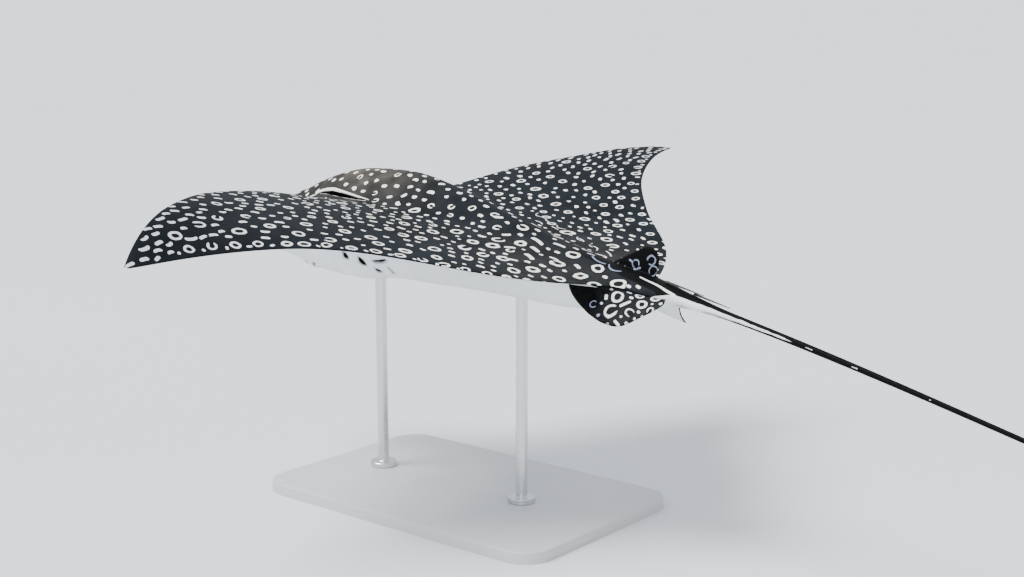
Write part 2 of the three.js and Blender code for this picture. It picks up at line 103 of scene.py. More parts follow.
# Places of the wings' edges at even steps of the span, then the degrees that the front and the rear
# edge rise there, for the left wing (1) and the right (-1)
LEADING_EDGE = [WING_FRONT, 0.1695, 0.2047, 0.2688, 0.3273]
TRAILING_EDGE = [0.622, 0.562, 0.4716, 0.403, 0.3622, 0.3343]
WING_RISE = {
    1: ([25.1, 3.9, -3.2, -49.4], [-4.5, 4.7, -9.7, -14.8]),
    -1: ([25.8, 20.5, 20.5, 5.5], [12.8, 24.9, 17.5, 2.7]),
}
WING_TOP, WING_UNDER = (2.0, 11.0, 37.0), (2.0, 8.0, 34.0)   # half thickness: tip, blade, root
EDGE_HALF = 1.5               # half thickness of the blunt rear edges
# Pelvic fins' free edges from front to rear: share of the edge, x, place, z
PELVIC_EDGE = {
    1: [[0.00, 0.0645, 0.6120, -0.0366], [0.15, 0.0675, 0.6340, -0.0422],
        [0.30, 0.0673, 0.6480, -0.0431], [0.42, 0.0650, 0.6590, -0.0409],
        [0.60, 0.0540, 0.6746, -0.0288], [0.80, 0.0440, 0.6870, -0.0177],
        [0.93, 0.0373, 0.6925, -0.0100], [1.00, 0.0332, 0.6915, -0.0053]],
    -1: [[0.00, 0.0640, 0.6180, -0.0366], [0.20, 0.0672, 0.6410, -0.0418],
         [0.42, 0.0674, 0.6600, -0.0440], [0.56, 0.0600, 0.6562, -0.0350],
         [0.70, 0.0530, 0.6570, -0.0270], [0.85, 0.0440, 0.6720, -0.0160],
         [1.00, 0.0340, 0.6900, -0.0060]],
}
PELVIC_BOW, PELVIC_HALF = (0.05, 0.005), 4.0       # roundness of the front edge, out and forwards
DORSAL_TIP, DORSAL_HALF = (0.627, 0.649, 0.040), 3.6
# Degrees that the tail rises and sways to the left, by its distance behind TAIL_START
TAIL_START = 0.64
TAIL_RISE = [[0, -5.6], [0.44, -9.2], [0.80, -4.0], [1.35, 3.0], [2.15, 6.0]]
TAIL_SWAY = [[0, 1.1], [0.44, 1.1], [0.95, -5.0], [1.5, -3.0], [2.15, 7.0]]
EYE_CENTRE, EYE_RADIUS = (0.0495, 0.1145, 0.006), 14.0

# ---- Regions of the skin, each laid flat on its own ---------------------------------------

TOP, UNDER, PELVIC_LEFT, PELVIC_RIGHT, PELVIC_UNDER, DORSAL_SIDES, TAIL = range(7)
LAID_ROOT = 125.0             # where the wings start when the top is laid flat
TAIL_LAID = 22.0              # half the width that the slim tail is laid out to
WING_SPAN = (0.5 - WING_ROOT) * DISC


def curve(rows, column=1):
    """A smooth curve through rows of [x, value, ...], that never overshoots its knots."""
    xs = np.array([row[0] for row in rows], float)
    ys = np.array([row[column] for row in rows], float)
    secant = np.diff(ys) / np.diff(xs)
    slope = np.concatenate([secant[:1], np.zeros(len(xs) - 2), secant[-1:]])
    for i in range(1, len(xs) - 1):
        product = secant[i - 1] * secant[i]
        slope[i] = 2 * product / (secant[i - 1] + secant[i]) if product > 0 else 0

    def value(x):
        x = np.clip(np.asarray(x, float), xs[0], xs[-1])
        i = np.clip(np.searchsorted(xs, x, side="right") - 1, 0, len(xs) - 2)
        width = xs[i + 1] - xs[i]
        t = (x - xs[i]) / width
        start = (1 + 2 * t) * (1 - t) ** 2 * ys[i] + t * (1 - t) ** 2 * width * slope[i]
        return start + t * t * (3 - 2 * t) * ys[i + 1] + t * t * (t - 1) * width * slope[i + 1]

    return value


def even_curve(values):
    """The same, through values at even steps from 0 to 1."""
    return curve([[i / (len(values) - 1), value] for i, value in enumerate(values)])


def mix(a, b, t):
    """From a to b as t goes from 0 to 1."""
    return a + (b - a) * t


def ease(x, low, high):
    """Rises smoothly from 0 at the low end to 1 at the high end."""
    t = np.clip((np.asarray(x, float) - low) / (high - low), 0, 1)
    return t * t * (3 - 2 * t)


def section(chord):
    """A wing section's half thickness along its chord, 1 at a third of the way back."""
    return np.sqrt(chord) * (1 - chord) / 0.3849


def root_chord(place, front, rear):
    """How far back a place is between a wing or fin root's front and rear, 0 to 1."""
    return np.clip((np.asarray(place, float) - front) / (rear - front), 0, 1)


def behind(place):
    """The frame's y, in mm, of a place along the body, before the ray is tilted."""
    return (np.asarray(place, float) - CENTRE) * DISC


body_top, body_side, body_under, body_half = (curve(BODY, column) for column in (1, 2, 3, 4))
opening, shoulder_top, shoulder_under = map(curve, (OPENING, SHOULDER_TOP, SHOULDER_UNDER))
leading_edge, trailing_edge = map(even_curve, (LEADING_EDGE, TRAILING_EDGE))


def tail_walk():
    """Distances behind TAIL_START and the tail line's sideways and upward offsets there."""
    reach = np.linspace(0, TAIL_END - TAIL_START + 0.05, 2200)
    middle = (reach[1:] + reach[:-1]) / 2
    offsets = [
        np.concatenate([[0], np.cumsum(np.tan(np.radians(curve(rows)(middle))) * np.diff(reach))])
        for rows in (TAIL_SWAY, TAIL_RISE)
    ]
    return reach, offsets[0] * DISC, offsets[1] * DISC


TAIL_REACH, TAIL_X, TAIL_Z = tail_walk()


def tail_line(place):
    """The tail line's sideways and upward offsets at places along the body."""
    reach = np.maximum(np.asarray(place, float) - TAIL_START, 0)
    return np.interp(reach, TAIL_REACH, TAIL_X), np.interp(reach, TAIL_REACH, TAIL_Z)


def ring_points(places, angles, upper):
    """Half-ring points (rows: places, columns: angles from the top), x outwards and z up."""
    place, angle = places[:, None], angles[None, :]
    turn = np.where(angle <= 90, angle, 180 - angle) / 90
    opened = opening(place)
    out = mix(np.sin(turn * np.pi / 2), turn, opened)
    shoulder = (shoulder_top if upper else shoulder_under)(place)
    bell = (1 + np.cos(np.pi * out ** shoulder)) / 2
    height = mix(np.cos(turn * np.pi / 2), bell, opened)
    root = sum(WING_TOP) if upper else -sum(WING_UNDER)
    side = body_side(place) + root * section(root_chord(place, WING_FRONT, WING_REAR)) / DISC
    end = (body_top if upper else body_under)(place)
    z = (side + (end - side) * height) * DISC
    x = body_half(place) * DISC * out
    if upper:
        x = x + DORSAL_HALF * section(root_chord(place, DORSAL_FRONT, DORSAL_REAR)) * (1 - turn) ** 6
    return x, z


def wing_edge(slopes):
    """x and z of a wing's edge against the span, walked outwards at the slopes given."""
    count = 60
    stride = WING_SPAN / count
    angle = np.radians(even_curve(slopes)((np.arange(count) + 0.5) / count))
    x = WING_ROOT * DISC + np.concatenate([[0], np.cumsum(np.cos(angle)) * stride])
    z = np.concatenate([[0], np.cumsum(np.sin(angle)) * stride])
    share = np.linspace(0, 1, count + 1)
    return lambda s: (np.interp(s, share, x), np.interp(s, share, z))


def wing_points(side, places, spans, face):
    """Upper (+1) or lower (-1) face of a wing: rows follow the ring places, columns the span."""
    front_rise, rear_rise = WING_RISE[side]
    front, rear = wing_edge(front_rise), wing_edge(rear_rise)
    tip = [(a + b) / 2 for a, b in zip(front(1.0), rear(1.0))]
    s = spans[None, :]
    place = places[:, None]
    index = np.linspace(0, 1, len(places))[:, None]
    even = (1 - np.cos(np.pi * index)) / 2
    c = mix(root_chord(place, WING_FRONT, WING_REAR), even, ease(s, 0, 0.8))
    edges = []
    for edge in (front, rear):
        here, end = edge(s), edge(1.0)
        edges.append([here[k] + s * s * (tip[k] - end[k]) for k in (0, 1)])
    root = (1 - s) ** 12
    x = mix(edges[0][0], edges[1][0], c) + (body_half(place) - WING_ROOT) * DISC * root
    z = mix(edges[0][1], edges[1][1], c) + body_side(place) * DISC * root
    spread = mix(leading_edge(s), trailing_edge(s), c)
    thick_tip, blade, thick_root = WING_TOP if face > 0 else WING_UNDER
    full = thick_tip + blade * (1 - s) + thick_root * (1 - s) ** 5
    rim = np.sqrt(np.clip(1 - (np.maximum(c - 0.985, 0) / 0.015) ** 2, 0, 1))
    half = full * section(c) + EDGE_HALF * c ** 4 * ease(s, 0, 0.1) * rim
    half = half * np.sqrt(np.clip(1 - s ** 40, 0, 1))
    tilt = np.radians(mix(even_curve(front_rise)(s), even_curve(rear_rise)(s), c)) * ease(s, 0, 0.25)
    x = x - np.sin(tilt) * half * face
    points = np.stack([side * x, behind(spread), z + np.cos(tilt) * half * face], -1)
    return points, s + 0 * c, c, spread


def walk_places(start, *stops):
    """Places from a start through (end, step in mm) stops."""
    places = [start]
    for end, step in stops:
        first = places[-1]
        count = max(1, round((end - first) * DISC / step))
        places += [mix(first, end, (k + 1) / count) for k in range(count)]
    return np.array(places)


BODY_PLACES = walk_places(
    0.0, (0.004, 1.5), (0.066, 4.0), (WING_FRONT, 4.0), (0.1363, 0.5), (0.137, 1.0), (0.139, 1.6),
    (0.240, 4.2), (PELVIC_FRONT, 6.5), (DORSAL_FRONT, 5.0), (0.6192, 5.0), (0.6208, 2.4),
    (0.6217, 1.4), (WING_REAR, 0.5), (DORSAL_REAR, 4.5), (PELVIC_REAR, 4.5), (0.69, 4.5),
    (TAIL_SLIM, 4.5))
TAIL_PLACES = walk_places(TAIL_SLIM, (0.90, 6.0), (1.30, 9.0), (TAIL_END, 15.0))
TOP_ANGLES = np.linspace(0, 90, 31)
MIDDLE_ANGLES = np.linspace(90, PELVIC_ANGLE, 4)
LOW_ANGLES = np.linspace(PELVIC_ANGLE, 180, 21)
SPANS = np.concatenate([np.linspace(0, 0.97, 84), [0.98, 0.988, 0.994, 0.998, 1.0]])


def between(places, front, rear):
    """Which places lie between a front and a rear one, both included."""
    return (places >= front - 1e-9) & (places <= rear + 1e-9)


def laid_along():
    """Table of places and their distance along the laid-flat top, true over the steep snout."""
    places = np.linspace(0, WING_FRONT, 300)
    x, z = ring_points(places, np.array([30.0]), True)
    step = np.sqrt(np.diff(x[:, 0]) ** 2 + np.diff(z[:, 0]) ** 2 + np.diff(places * DISC) ** 2)
    walked = np.concatenate([[0], np.cumsum(step)])
    return places, WING_FRONT * DISC - walked[-1] + walked


LAID_PLACES, LAID_B = laid_along()


def laid_b(place):
    """Laid-flat distance along the body of a place."""
    place = np.asarray(place, float)
    return np.where(place < WING_FRONT, np.interp(place, LAID_PLACES, LAID_B), place * DISC)


def arcs(x, z, from_end=False):
    """Distance along each row of ring points, from its first or last column."""
    step = np.hypot(np.diff(x, axis=1), np.diff(z, axis=1))
    walked = np.concatenate([np.zeros((len(x), 1)), np.cumsum(step, axis=1)], 1)
    return walked[:, -1:] - walked if from_end else walked


def quarter_angles(upper):
    """Fine ring angles of the left half's top or underside."""
    return np.linspace(0, 90, 61) if upper else np.linspace(90, 180, 61)


def quarter_girth(places, upper):
    """Distance round the left half's top or underside, one row for each place."""
    return arcs(*ring_points(places, quarter_angles(upper), upper))[:, -1:]


def lay(place, angle):
    """Laid-flat point (a, b) of the left half body's top or underside."""
    upper = angle <= 90
    angles = quarter_angles(upper)
    walked = arcs(*ring_points(np.array([place]), angles, upper), from_end=not upper)[0]
    return np.array([np.interp(angle, angles, walked), float(laid_b(place))])


def fold(flats):
    """Laid-flat points with the right side's laid on the left."""
    return np.stack([np.abs(flats[:, 0]), flats[:, 1]], 1)


def layers(*parts):
    """One grid of values that are each given by row, by column, by point or once."""
    return np.stack(np.broadcast_arrays(*parts), -1)


# ---- Gathering the skin's faces -----------------------------------------------------------

class Patches:
    """Faces of the skin with, at each corner, its laid-flat place and its coat values."""

    def __init__(self):
        self.points, self.faces, self.flats, self.coats, self.regions = [], [], [], [], []
        self.count = 0

    def grid(self, points, flat, coat, region):
        """Adds a grid of points; flat (a, b) and coat are given at the same points."""
        rows, columns = points.shape[:2]
        index = np.arange(rows * columns).reshape(rows, columns)
        quads = np.stack([index[:-1, :-1], index[:-1, 1:], index[1:, 1:], index[1:, :-1]], -1)
        quads = quads.reshape(-1, 4)
        self.points.append(points.reshape(-1, 3))
        self.flats.append(flat.reshape(-1, 2)[quads].reshape(-1, 2))
        self.coats.append(coat.reshape(-1, 3)[quads].reshape(-1, 3))
        self.faces += (quads + self.count).tolist()
        self.regions += [region] * len(quads)
        self.count += rows * columns

    def polygon(self, points, flat, coat, region):
        """Adds one face."""
        self.points.append(points)
        self.flats.append(flat)
        self.coats.append(coat)
        self.faces.append(list(range(self.count, self.count + len(points))))
        self.regions.append(region)
        self.count += len(points)


# Ring angles of the white flank's upper and lower border, along the tail: pale underside at the tail's
# root, and further back a painted highlight along the tail's side; where they cross, the tail is black
# all round
FLANK_TOP = [(0, 90), (0.592, 90), (0.612, 104), (0.656, 104), (0.672, 84), (0.690, 65), (0.716, 63.5),
             (0.744, 66.5), (0.773, 69.5), (0.80, 75), (0.838, 79), (0.8485, 130)]
FLANK_LOW = [(0.700, 300), (0.744, 140), (0.773, 118), (0.80, 106), (0.838, 95), (0.8485, 50)]
# painted highlight: short white streaks along the tail's side
PAINTED_HIGHLIGHT_DASHES = [(0.859, 8.0), (0.915, 7.0), (1.003, 4.0)]   # place and half length of the last streaks
PAINTED_HIGHLIGHT_ANGLE = 84.0
# Ring angle out to which the back is painted black, along the rear body: jet black on the tail's top,
# painted shade along the strip of back in front of it
INK_AND_PAINTED_SHADE_STRIP = [(0.50, 18), (0.566, 30), (0.588, 34), (0.611, 38), (0.636, 51), (0.657, 63), (0.670, 74),
             (0.69, 200)]


def flank_edge(place, angle, girth):
    """How far a point is inside the dark back, in mm, for a quarter of the body's girth."""
    top = np.interp(place, *zip(*FLANK_TOP))
    low = np.interp(place, *zip(*FLANK_LOW))
    on_tail = ease(place, 0.662, 0.69)
    edge = np.maximum(top - angle, angle - low) / 90 * girth * (1 + on_tail) - 3 * on_tail
    # painted highlight streaks along the tail's side
    for middle, half in PAINTED_HIGHLIGHT_DASHES:
        beyond = np.maximum(np.abs(place - middle) * DISC - half, 0)
        edge = np.minimum(edge, -4.4 + 3.2 * np.abs(angle - PAINTED_HIGHLIGHT_ANGLE) / 90 * girth + 1.2 * beyond)
    return edge


def warmth(a, b):
    """How brown the back is: most on the head's dome, some along the body's rear."""
    dome = np.exp(-(((b - 300) / 130) ** 2 + (a / 125) ** 2))
    rear = 0.15 * np.exp(-(((b - 830) / 200) ** 2 + ((np.abs(a) - 110) / 120) ** 2))
    return np.clip(dome + rear, 0, 1)


def ink_and_painted_shade(place, angle):
    """How black the skin is: jet black on the tail's top, painted shade on the strip of back in front
    of it.
    """
    return ease(np.interp(place, *zip(*INK_AND_PAINTED_SHADE_STRIP)) - angle, 0, 5) * ease(place, 0.52, 0.575)


def body_patches(patches):
    """The body from the snout to the slim tail, as rings."""
    places = BODY_PLACES
    column = places[:, None]
    line_x, line_z = tail_line(column)
    b = laid_b(column)
    inside = np.clip(np.minimum(column - WING_FRONT, WING_REAR - column) * DISC, 0, 400)
    for angles, upper in ((TOP_ANGLES, True), (MIDDLE_ANGLES, False), (LOW_ANGLES, False)):
        x, z = ring_points(places, angles, upper)
        walked = arcs(x, z, from_end=not upper)
        if angles is MIDDLE_ANGLES:
            walked = walked + arcs(*ring_points(places, LOW_ANGLES, False))[:, -1:]
        if angles is LOW_ANGLES:          # room for the pelvic fins' roots
            fade = np.clip(1 - (angles - PELVIC_ANGLE) / 24, 0, 1) ** 2
            z = z - 2 * PELVIC_HALF * section(root_chord(column, PELVIC_FRONT, PELVIC_REAR)) * fade
        edge = flank_edge(column, angles, quarter_girth(places, upper))
        # between the wings the top is all dark and the belly all white
        edge = edge + inside if upper else edge - np.maximum(inside - 36, 0)
        # painted shade: the underside of the rear body and tail darkens below the side line
        dusk_and_painted_shade = 0.8 * ease(column, 0.68, 0.70) * ease(angles, 100, 135)
        coat = layers(edge, warmth(walked, b) if upper else dusk_and_painted_shade, ink_and_painted_shade(column, angles))
        for side in (1, -1):
            points = layers(side * x + line_x, behind(column), z + line_z)
            patches.grid(points, layers(side * walked, b), coat, TOP if upper else UNDER)


def wing_patches(patches):
    """The wings' upper and lower faces."""
    places = BODY_PLACES[between(BODY_PLACES, WING_FRONT, WING_REAR)]
    for side in (1, -1):
        for face in (1, -1):
            points, s, c, spread = wing_points(side, places, SPANS, face)
            a = mix(quarter_girth(places, face > 0), LAID_ROOT, ease(s, 0, 0.4)) + WING_SPAN * s
            b = spread * DISC
            edge = np.minimum(c, 1 - c) * (trailing_edge(s) - leading_edge(s)) * DISC
            edge = np.where(s < 0.02, edge, np.minimum(edge, (1 - s) * WING_SPAN * 0.6))
            if face > 0:
                coat = layers(edge, warmth(a, b), 0.55 * ease(s, 0.25, 1.0))
            else:
                dusk_and_painted_shade = 0.5 * ease(s, 0.72, 1.05) + 0.25 * ease(c, 0.86, 1.0) * ease(s, 0.1, 0.3)
                coat = layers(-edge, dusk_and_painted_shade, 0)
            patches.grid(points, layers(side * a, b), coat, TOP if face > 0 else UNDER)


def pelvic_patches(patches):
    """The pelvic fins' upper and lower faces."""
    places = BODY_PLACES[between(BODY_PLACES, PELVIC_FRONT, PELVIC_REAR)]
    column = places[:, None]
    line_x, line_z = tail_line(column)
    root_x, root_z = ring_points(places, np.array([PELVIC_ANGLE]), False)
    c = root_chord(column, PELVIC_FRONT, PELVIC_REAR)
    s = np.linspace(0, 1, 19)[None, :]
    bow = np.sin(np.pi * s) * (1 - c)
    base = PELVIC_HALF * section(c)
    rim = np.sqrt(np.clip(1 - s ** 12, 0, 1)) * np.sqrt(np.clip((1 - c) / 0.06, 0, 1))
    half = ((PELVIC_HALF * (1 - s) + ease(s, 0, 0.2)) * section(c)
            + EDGE_HALF * c ** 3 * ease(s, 0, 0.3) * rim) * np.where(s < 1, 1, 0)
    away = np.minimum(np.minimum(c, 1 - c) * 130 + 4, (1 - s) * 60)
    # painted shadow of the wing: the front of each fin's upper face is black
    painted_wing_shadow = 0.2 + 0.8 * ease(0.37 - c - 0.06 * s, 0, 0.03)
    for side in (1, -1):
        edge = [curve(PELVIC_EDGE[side], k)(c) for k in (1, 2, 3)]
        x = mix(root_x + side * line_x, edge[0] * DISC, s + PELVIC_BOW[0] * bow)
        y = mix(behind(column), behind(edge[1]), s) - PELVIC_BOW[1] * DISC * bow * (1 - c)
        middle = mix(root_z + line_z - base, edge[2] * DISC, s)
        flat = layers((x - 30) * 1.5, y + CENTRE * DISC)
        for face in (1, -1):
            coat = layers(face * away, 0.1, painted_wing_shadow if face > 0 else 0)
            region = PELVIC_UNDER if face < 0 else PELVIC_LEFT if side > 0 else PELVIC_RIGHT
            patches.grid(layers(side * x, y, middle + face * half), flat, coat, region)


def dorsal_patches(patches):
    """Both sides of the dorsal fin."""
    column = BODY_PLACES[between(BODY_PLACES, DORSAL_FRONT, DORSAL_REAR)][:, None]
    line_x, line_z = tail_line(column)
    c = root_chord(column, DORSAL_FRONT, DORSAL_REAR)
    s = np.linspace(0, 1, 15)[None, :]
    free = mix(DORSAL_TIP[0], DORSAL_TIP[1], c) + 0.006 * np.sin(np.pi * s) * c
    bulge = 0.004 * 4 * c * (1 - c)
    half = ((DORSAL_HALF * (1 - s) + ease(s, 0, 0.2)) * section(c)
            + EDGE_HALF * c ** 3 * ease(s, 0, 0.3) * (c < 0.999)) * np.where(s < 1, 1, 0)
    y = behind(mix(column, free, s))
    z = mix(body_top(column) * DISC + line_z, (DORSAL_TIP[2] + bulge) * DISC, s)
    for face in (1, -1):
        patches.grid(layers(face * half + line_x, y, z), layers(z, y + CENTRE * DISC),
                     layers(30 + 0 * y, 0, 1), DORSAL_SIDES)


def tail_patches(patches):
    """The slim tail: a coarser tube, joined to the body's finer ring by wide faces."""
    fine = np.concatenate([TOP_ANGLES, MIDDLE_ANGLES[1:-1], LOW_ANGLES])
    keep = list(range(0, 31, 5)) + [33] + list(range(37, 54, 4))     # the fine ring's angles kept
    coarse = fine[keep]

    def laid(side, places, angles):
        column = places[:, None]
        line_x, line_z = tail_line(column)
        upper = angles <= 90
        x = np.empty((len(places), len(angles)))
        z = np.empty_like(x)
        for part, top in ((upper, True), (~upper, False)):
            x[:, part], z[:, part] = ring_points(places, angles[part], top)
        edge = flank_edge(column, angles, body_half(column) * DISC * 1.5)
        points = layers(side * x + line_x, behind(column), z + line_z)
        flat = layers(side * angles / 180 * TAIL_LAID, column * DISC)
        # the second value is painted shade on the tail's underside
        return points, flat, layers(edge, 0.8 * ease(angles, 100, 135), 1)

    for side in (1, -1):
        patches.grid(*laid(side, TAIL_PLACES[1:], coarse), TAIL)
        near = laid(side, TAIL_PLACES[:1], fine)
        far = laid(side, TAIL_PLACES[1:2], coarse)
        for k in range(len(coarse) - 1):
            span = slice(keep[k], keep[k + 1] + 1)
            parts = [np.concatenate([n[0, span], f[0, [k + 1, k]]]) for n, f in zip(near, far)]
            patches.polygon(*parts, TAIL)
    for places, angles, region in ((TAIL_PLACES[-1:], coarse, TAIL), (BODY_PLACES[:1], fine, TOP)):
        left, right = laid(1, places, angles), laid(-1, places, angles)
        loop = [np.concatenate([l[0], r[0, -2:0:-1]]) for l, r in zip(left, right)]
        middle = [part.mean(0) for part in loop]
        if region == TOP:                 # the snout's end has the back's coat
            loop[1][:, 1] = middle[1][1] = laid_b(0)
            loop[2][:, 2] = middle[2][2] = 0
            loop[2][:, 0] = middle[2][0] = 8
        for k in range(len(loop[0])):
            n = (k + 1) % len(loop[0])
            patches.polygon(*[np.array([part[k], part[n], centre])
                              for part, centre in zip(loop, middle)], region)


# ---- Reading and writing mesh values ------------------------------------------------------

def read(items, name, width=1, kind=float):
    """One property of every item of a mesh, as an array."""
    values = np.empty(len(items) * width, kind)
    items.foreach_get(name, values)
    return values.reshape(-1, width) if width > 1 else values


def store(mesh, name, domain, values):
    """Gives a mesh an attribute of three numbers for each point, corner or face."""
    layer = mesh.attributes.new(name, "FLOAT_VECTOR", domain)
    layer.data.foreach_set("vector", values.ravel().astype(np.float32))


def store_map(mesh, name, values):
    """Gives a mesh a UV map."""
    layer = mesh.uv_layers.new(name=name)
    layer.uv.foreach_set("vector", values.ravel().astype(np.float32))


def corner_flats(mesh):
    """Laid-flat place of every face corner, in metres as the map keeps it."""
    return read(mesh.uv_layers["LaidFlat"].uv, "vector", 2, np.float32)


def face_table(mesh):
    """Each face's region, first corner and number of corners."""
    sources = ((mesh.attributes["region"].data, "value"), (mesh.polygons, "loop_start"),
               (mesh.polygons, "loop_total"))
    return [read(items, name, kind=np.int32) for items, name in sources]


def vertex_flats(mesh, region):
    """Laid-flat place of each vertex that a region touches; far away for the others."""
    regions, _, totals = face_table(mesh)
    inside = np.repeat(regions, totals) == region
    place = np.full((len(mesh.vertices), 2), 1e5)
    place[read(mesh.loops, "vertex_index", kind=np.int32)[inside]] = corner_flats(mesh)[inside] * 1000
    return place


def select_faces(piece, wanted):
    """Selects the faces whose corners are all wanted, and nothing else."""
    mesh = piece.data
    start_afresh()
    bpy.context.view_layer.objects.active = piece
    piece.select_set(True)
    starts = read(mesh.polygons, "loop_start", kind=np.int32)
    chosen = np.logical_and.reduceat(wanted[read(mesh.loops, "vertex_index", kind=np.int32)], starts)
    mesh.vertices.foreach_set("select", np.zeros(len(mesh.vertices), bool))
    mesh.edges.foreach_set("select", np.zeros(len(mesh.edges), bool))
    mesh.polygons.foreach_set("select", chosen)
    bpy.ops.object.mode_set(mode="EDIT")
    bpy.ops.mesh.select_mode(type="FACE")
    bpy.ops.object.mode_set(mode="OBJECT")
    mesh.polygons.foreach_set("select", chosen)


def start_afresh():
    """Leaves edit mode and deselects everything."""
    if bpy.context.object and bpy.context.object.mode != "OBJECT":
        bpy.ops.object.mode_set(mode="OBJECT")
    bpy.ops.object.select_all(action="DESELECT")


# ---- Sculpted features --------------------------------------------------------------------

# Slits on the top by place and ring angle: the spiracle, the white brow over it, and the painted
# highlight stripe beside the tail's root
SPIRACLE = [(0.146, 65.0), (0.160, 68.6), (0.180, 72.4), (0.203, 75.4), (0.226, 77.6), (0.243, 79.0)]
BROW = [(0.112, 61.0), (0.122, 59.5), (0.1427, 61.0), (0.165, 65.4), (0.190, 69.6), (0.215, 73.0),
        (0.246, 76.4)]
GILLS = [                              # half width in mm, and the slit's places and ring angles
    (7.5, [(0.2015, 112.0), (0.2055, 114.0), (0.2095, 117.0)]),
    (7.5, [(0.2320, 112.5), (0.2350, 117.0), (0.2395, 123.0)]),
    (3.6, [(0.257, 115.0), (0.272, 112.0), (0.289, 104.5)]),
    (5.2, [(0.2530, 128.0), (0.257, 131.0), (0.262, 133.0)]),
    (1.4, [(0.281, 122.0), (0.285, 128.0), (0.283, 134.0)]),
]
TAIL_HIGHLIGHT_STRIPE = [(0.641, 28.0), (0.652, 31.5), (0.665, 36.0), (0.677, 48.0), (0.690, 66.0)]
# Features of the underside, in laid-flat mm: mouth, its fringed curtain, left nostril and vent
MOUTH = [(-40.0, 186.0), (-21.0, 171.0), (0.0, 168.0), (21.0, 171.0), (40.0, 186.0)]
CURTAIN_REAR, CURTAIN_FRONT, CURTAIN_HALF = 162.0, 128.0, 25.0
NOSTRIL = (26.0, 143.0)
VENT = [(0.0, 900.0), (0.0, 938.0)]
# the hollow layer is painted shade: near black inside the carved openings, grey round them on the
# underside
WHITE, HOLLOW_SHADE, PINK = range(3)         # layers of the painted features


def line_field(points, line):
    """Share along a line, and signed distance from it, for laid-flat points."""
    line = np.asarray(line, float)
    lengths = np.hypot(*np.diff(line, axis=0).T)
    best = np.full(len(points), 1e9)
    share, signed = np.zeros(len(points)), np.full(len(points), 1e9)
    start = 0.0
    for a, b, length in zip(line[:-1], line[1:], lengths):
        d = b - a
        t = np.clip(((points - a) @ d) / length ** 2, 0, 1)
        away = points - (a + t[:, None] * d)
        distance = np.hypot(away[:, 0], away[:, 1])
        near = distance < best
        best[near] = distance[near]
        share[near] = ((start + t * length) / lengths.sum())[near]
        cross = d[0] * away[:, 1] - d[1] * away[:, 0]
        signed[near] = (np.where(cross < 0, 1, -1) * distance)[near]
        start += length
    return share, signed


def smooth_line(points, count=25):
    """A finer line through a few points."""
    points = np.asarray(points, float)
    share = np.linspace(0, 1, len(points))
    fine = np.linspace(0, 1, count)
    return np.stack([curve(np.stack([share, points[:, k]], 1))(fine) for k in (0, 1)], 1)


def laid_line(points):
    """A smooth laid-flat line through places and ring angles."""
    return smooth_line([lay(*point) for point in points])


def swell(share):
    """0 at a line's ends and 1 halfway along it."""
    return np.sin(np.pi * np.clip(share, 0.001, 0.999))


def ridge(away, width):
    """A soft ridge: 1 along its crest, fading out over its width."""
    return np.exp(-(away / width) ** 2)


def trough(off, half):
    """How deep a slit is across its width: 1 along its middle, 0 at its edges, with steep walls."""
    return ease(1 - np.abs(off) / np.maximum(half, 1e-6), 0, 0.55)


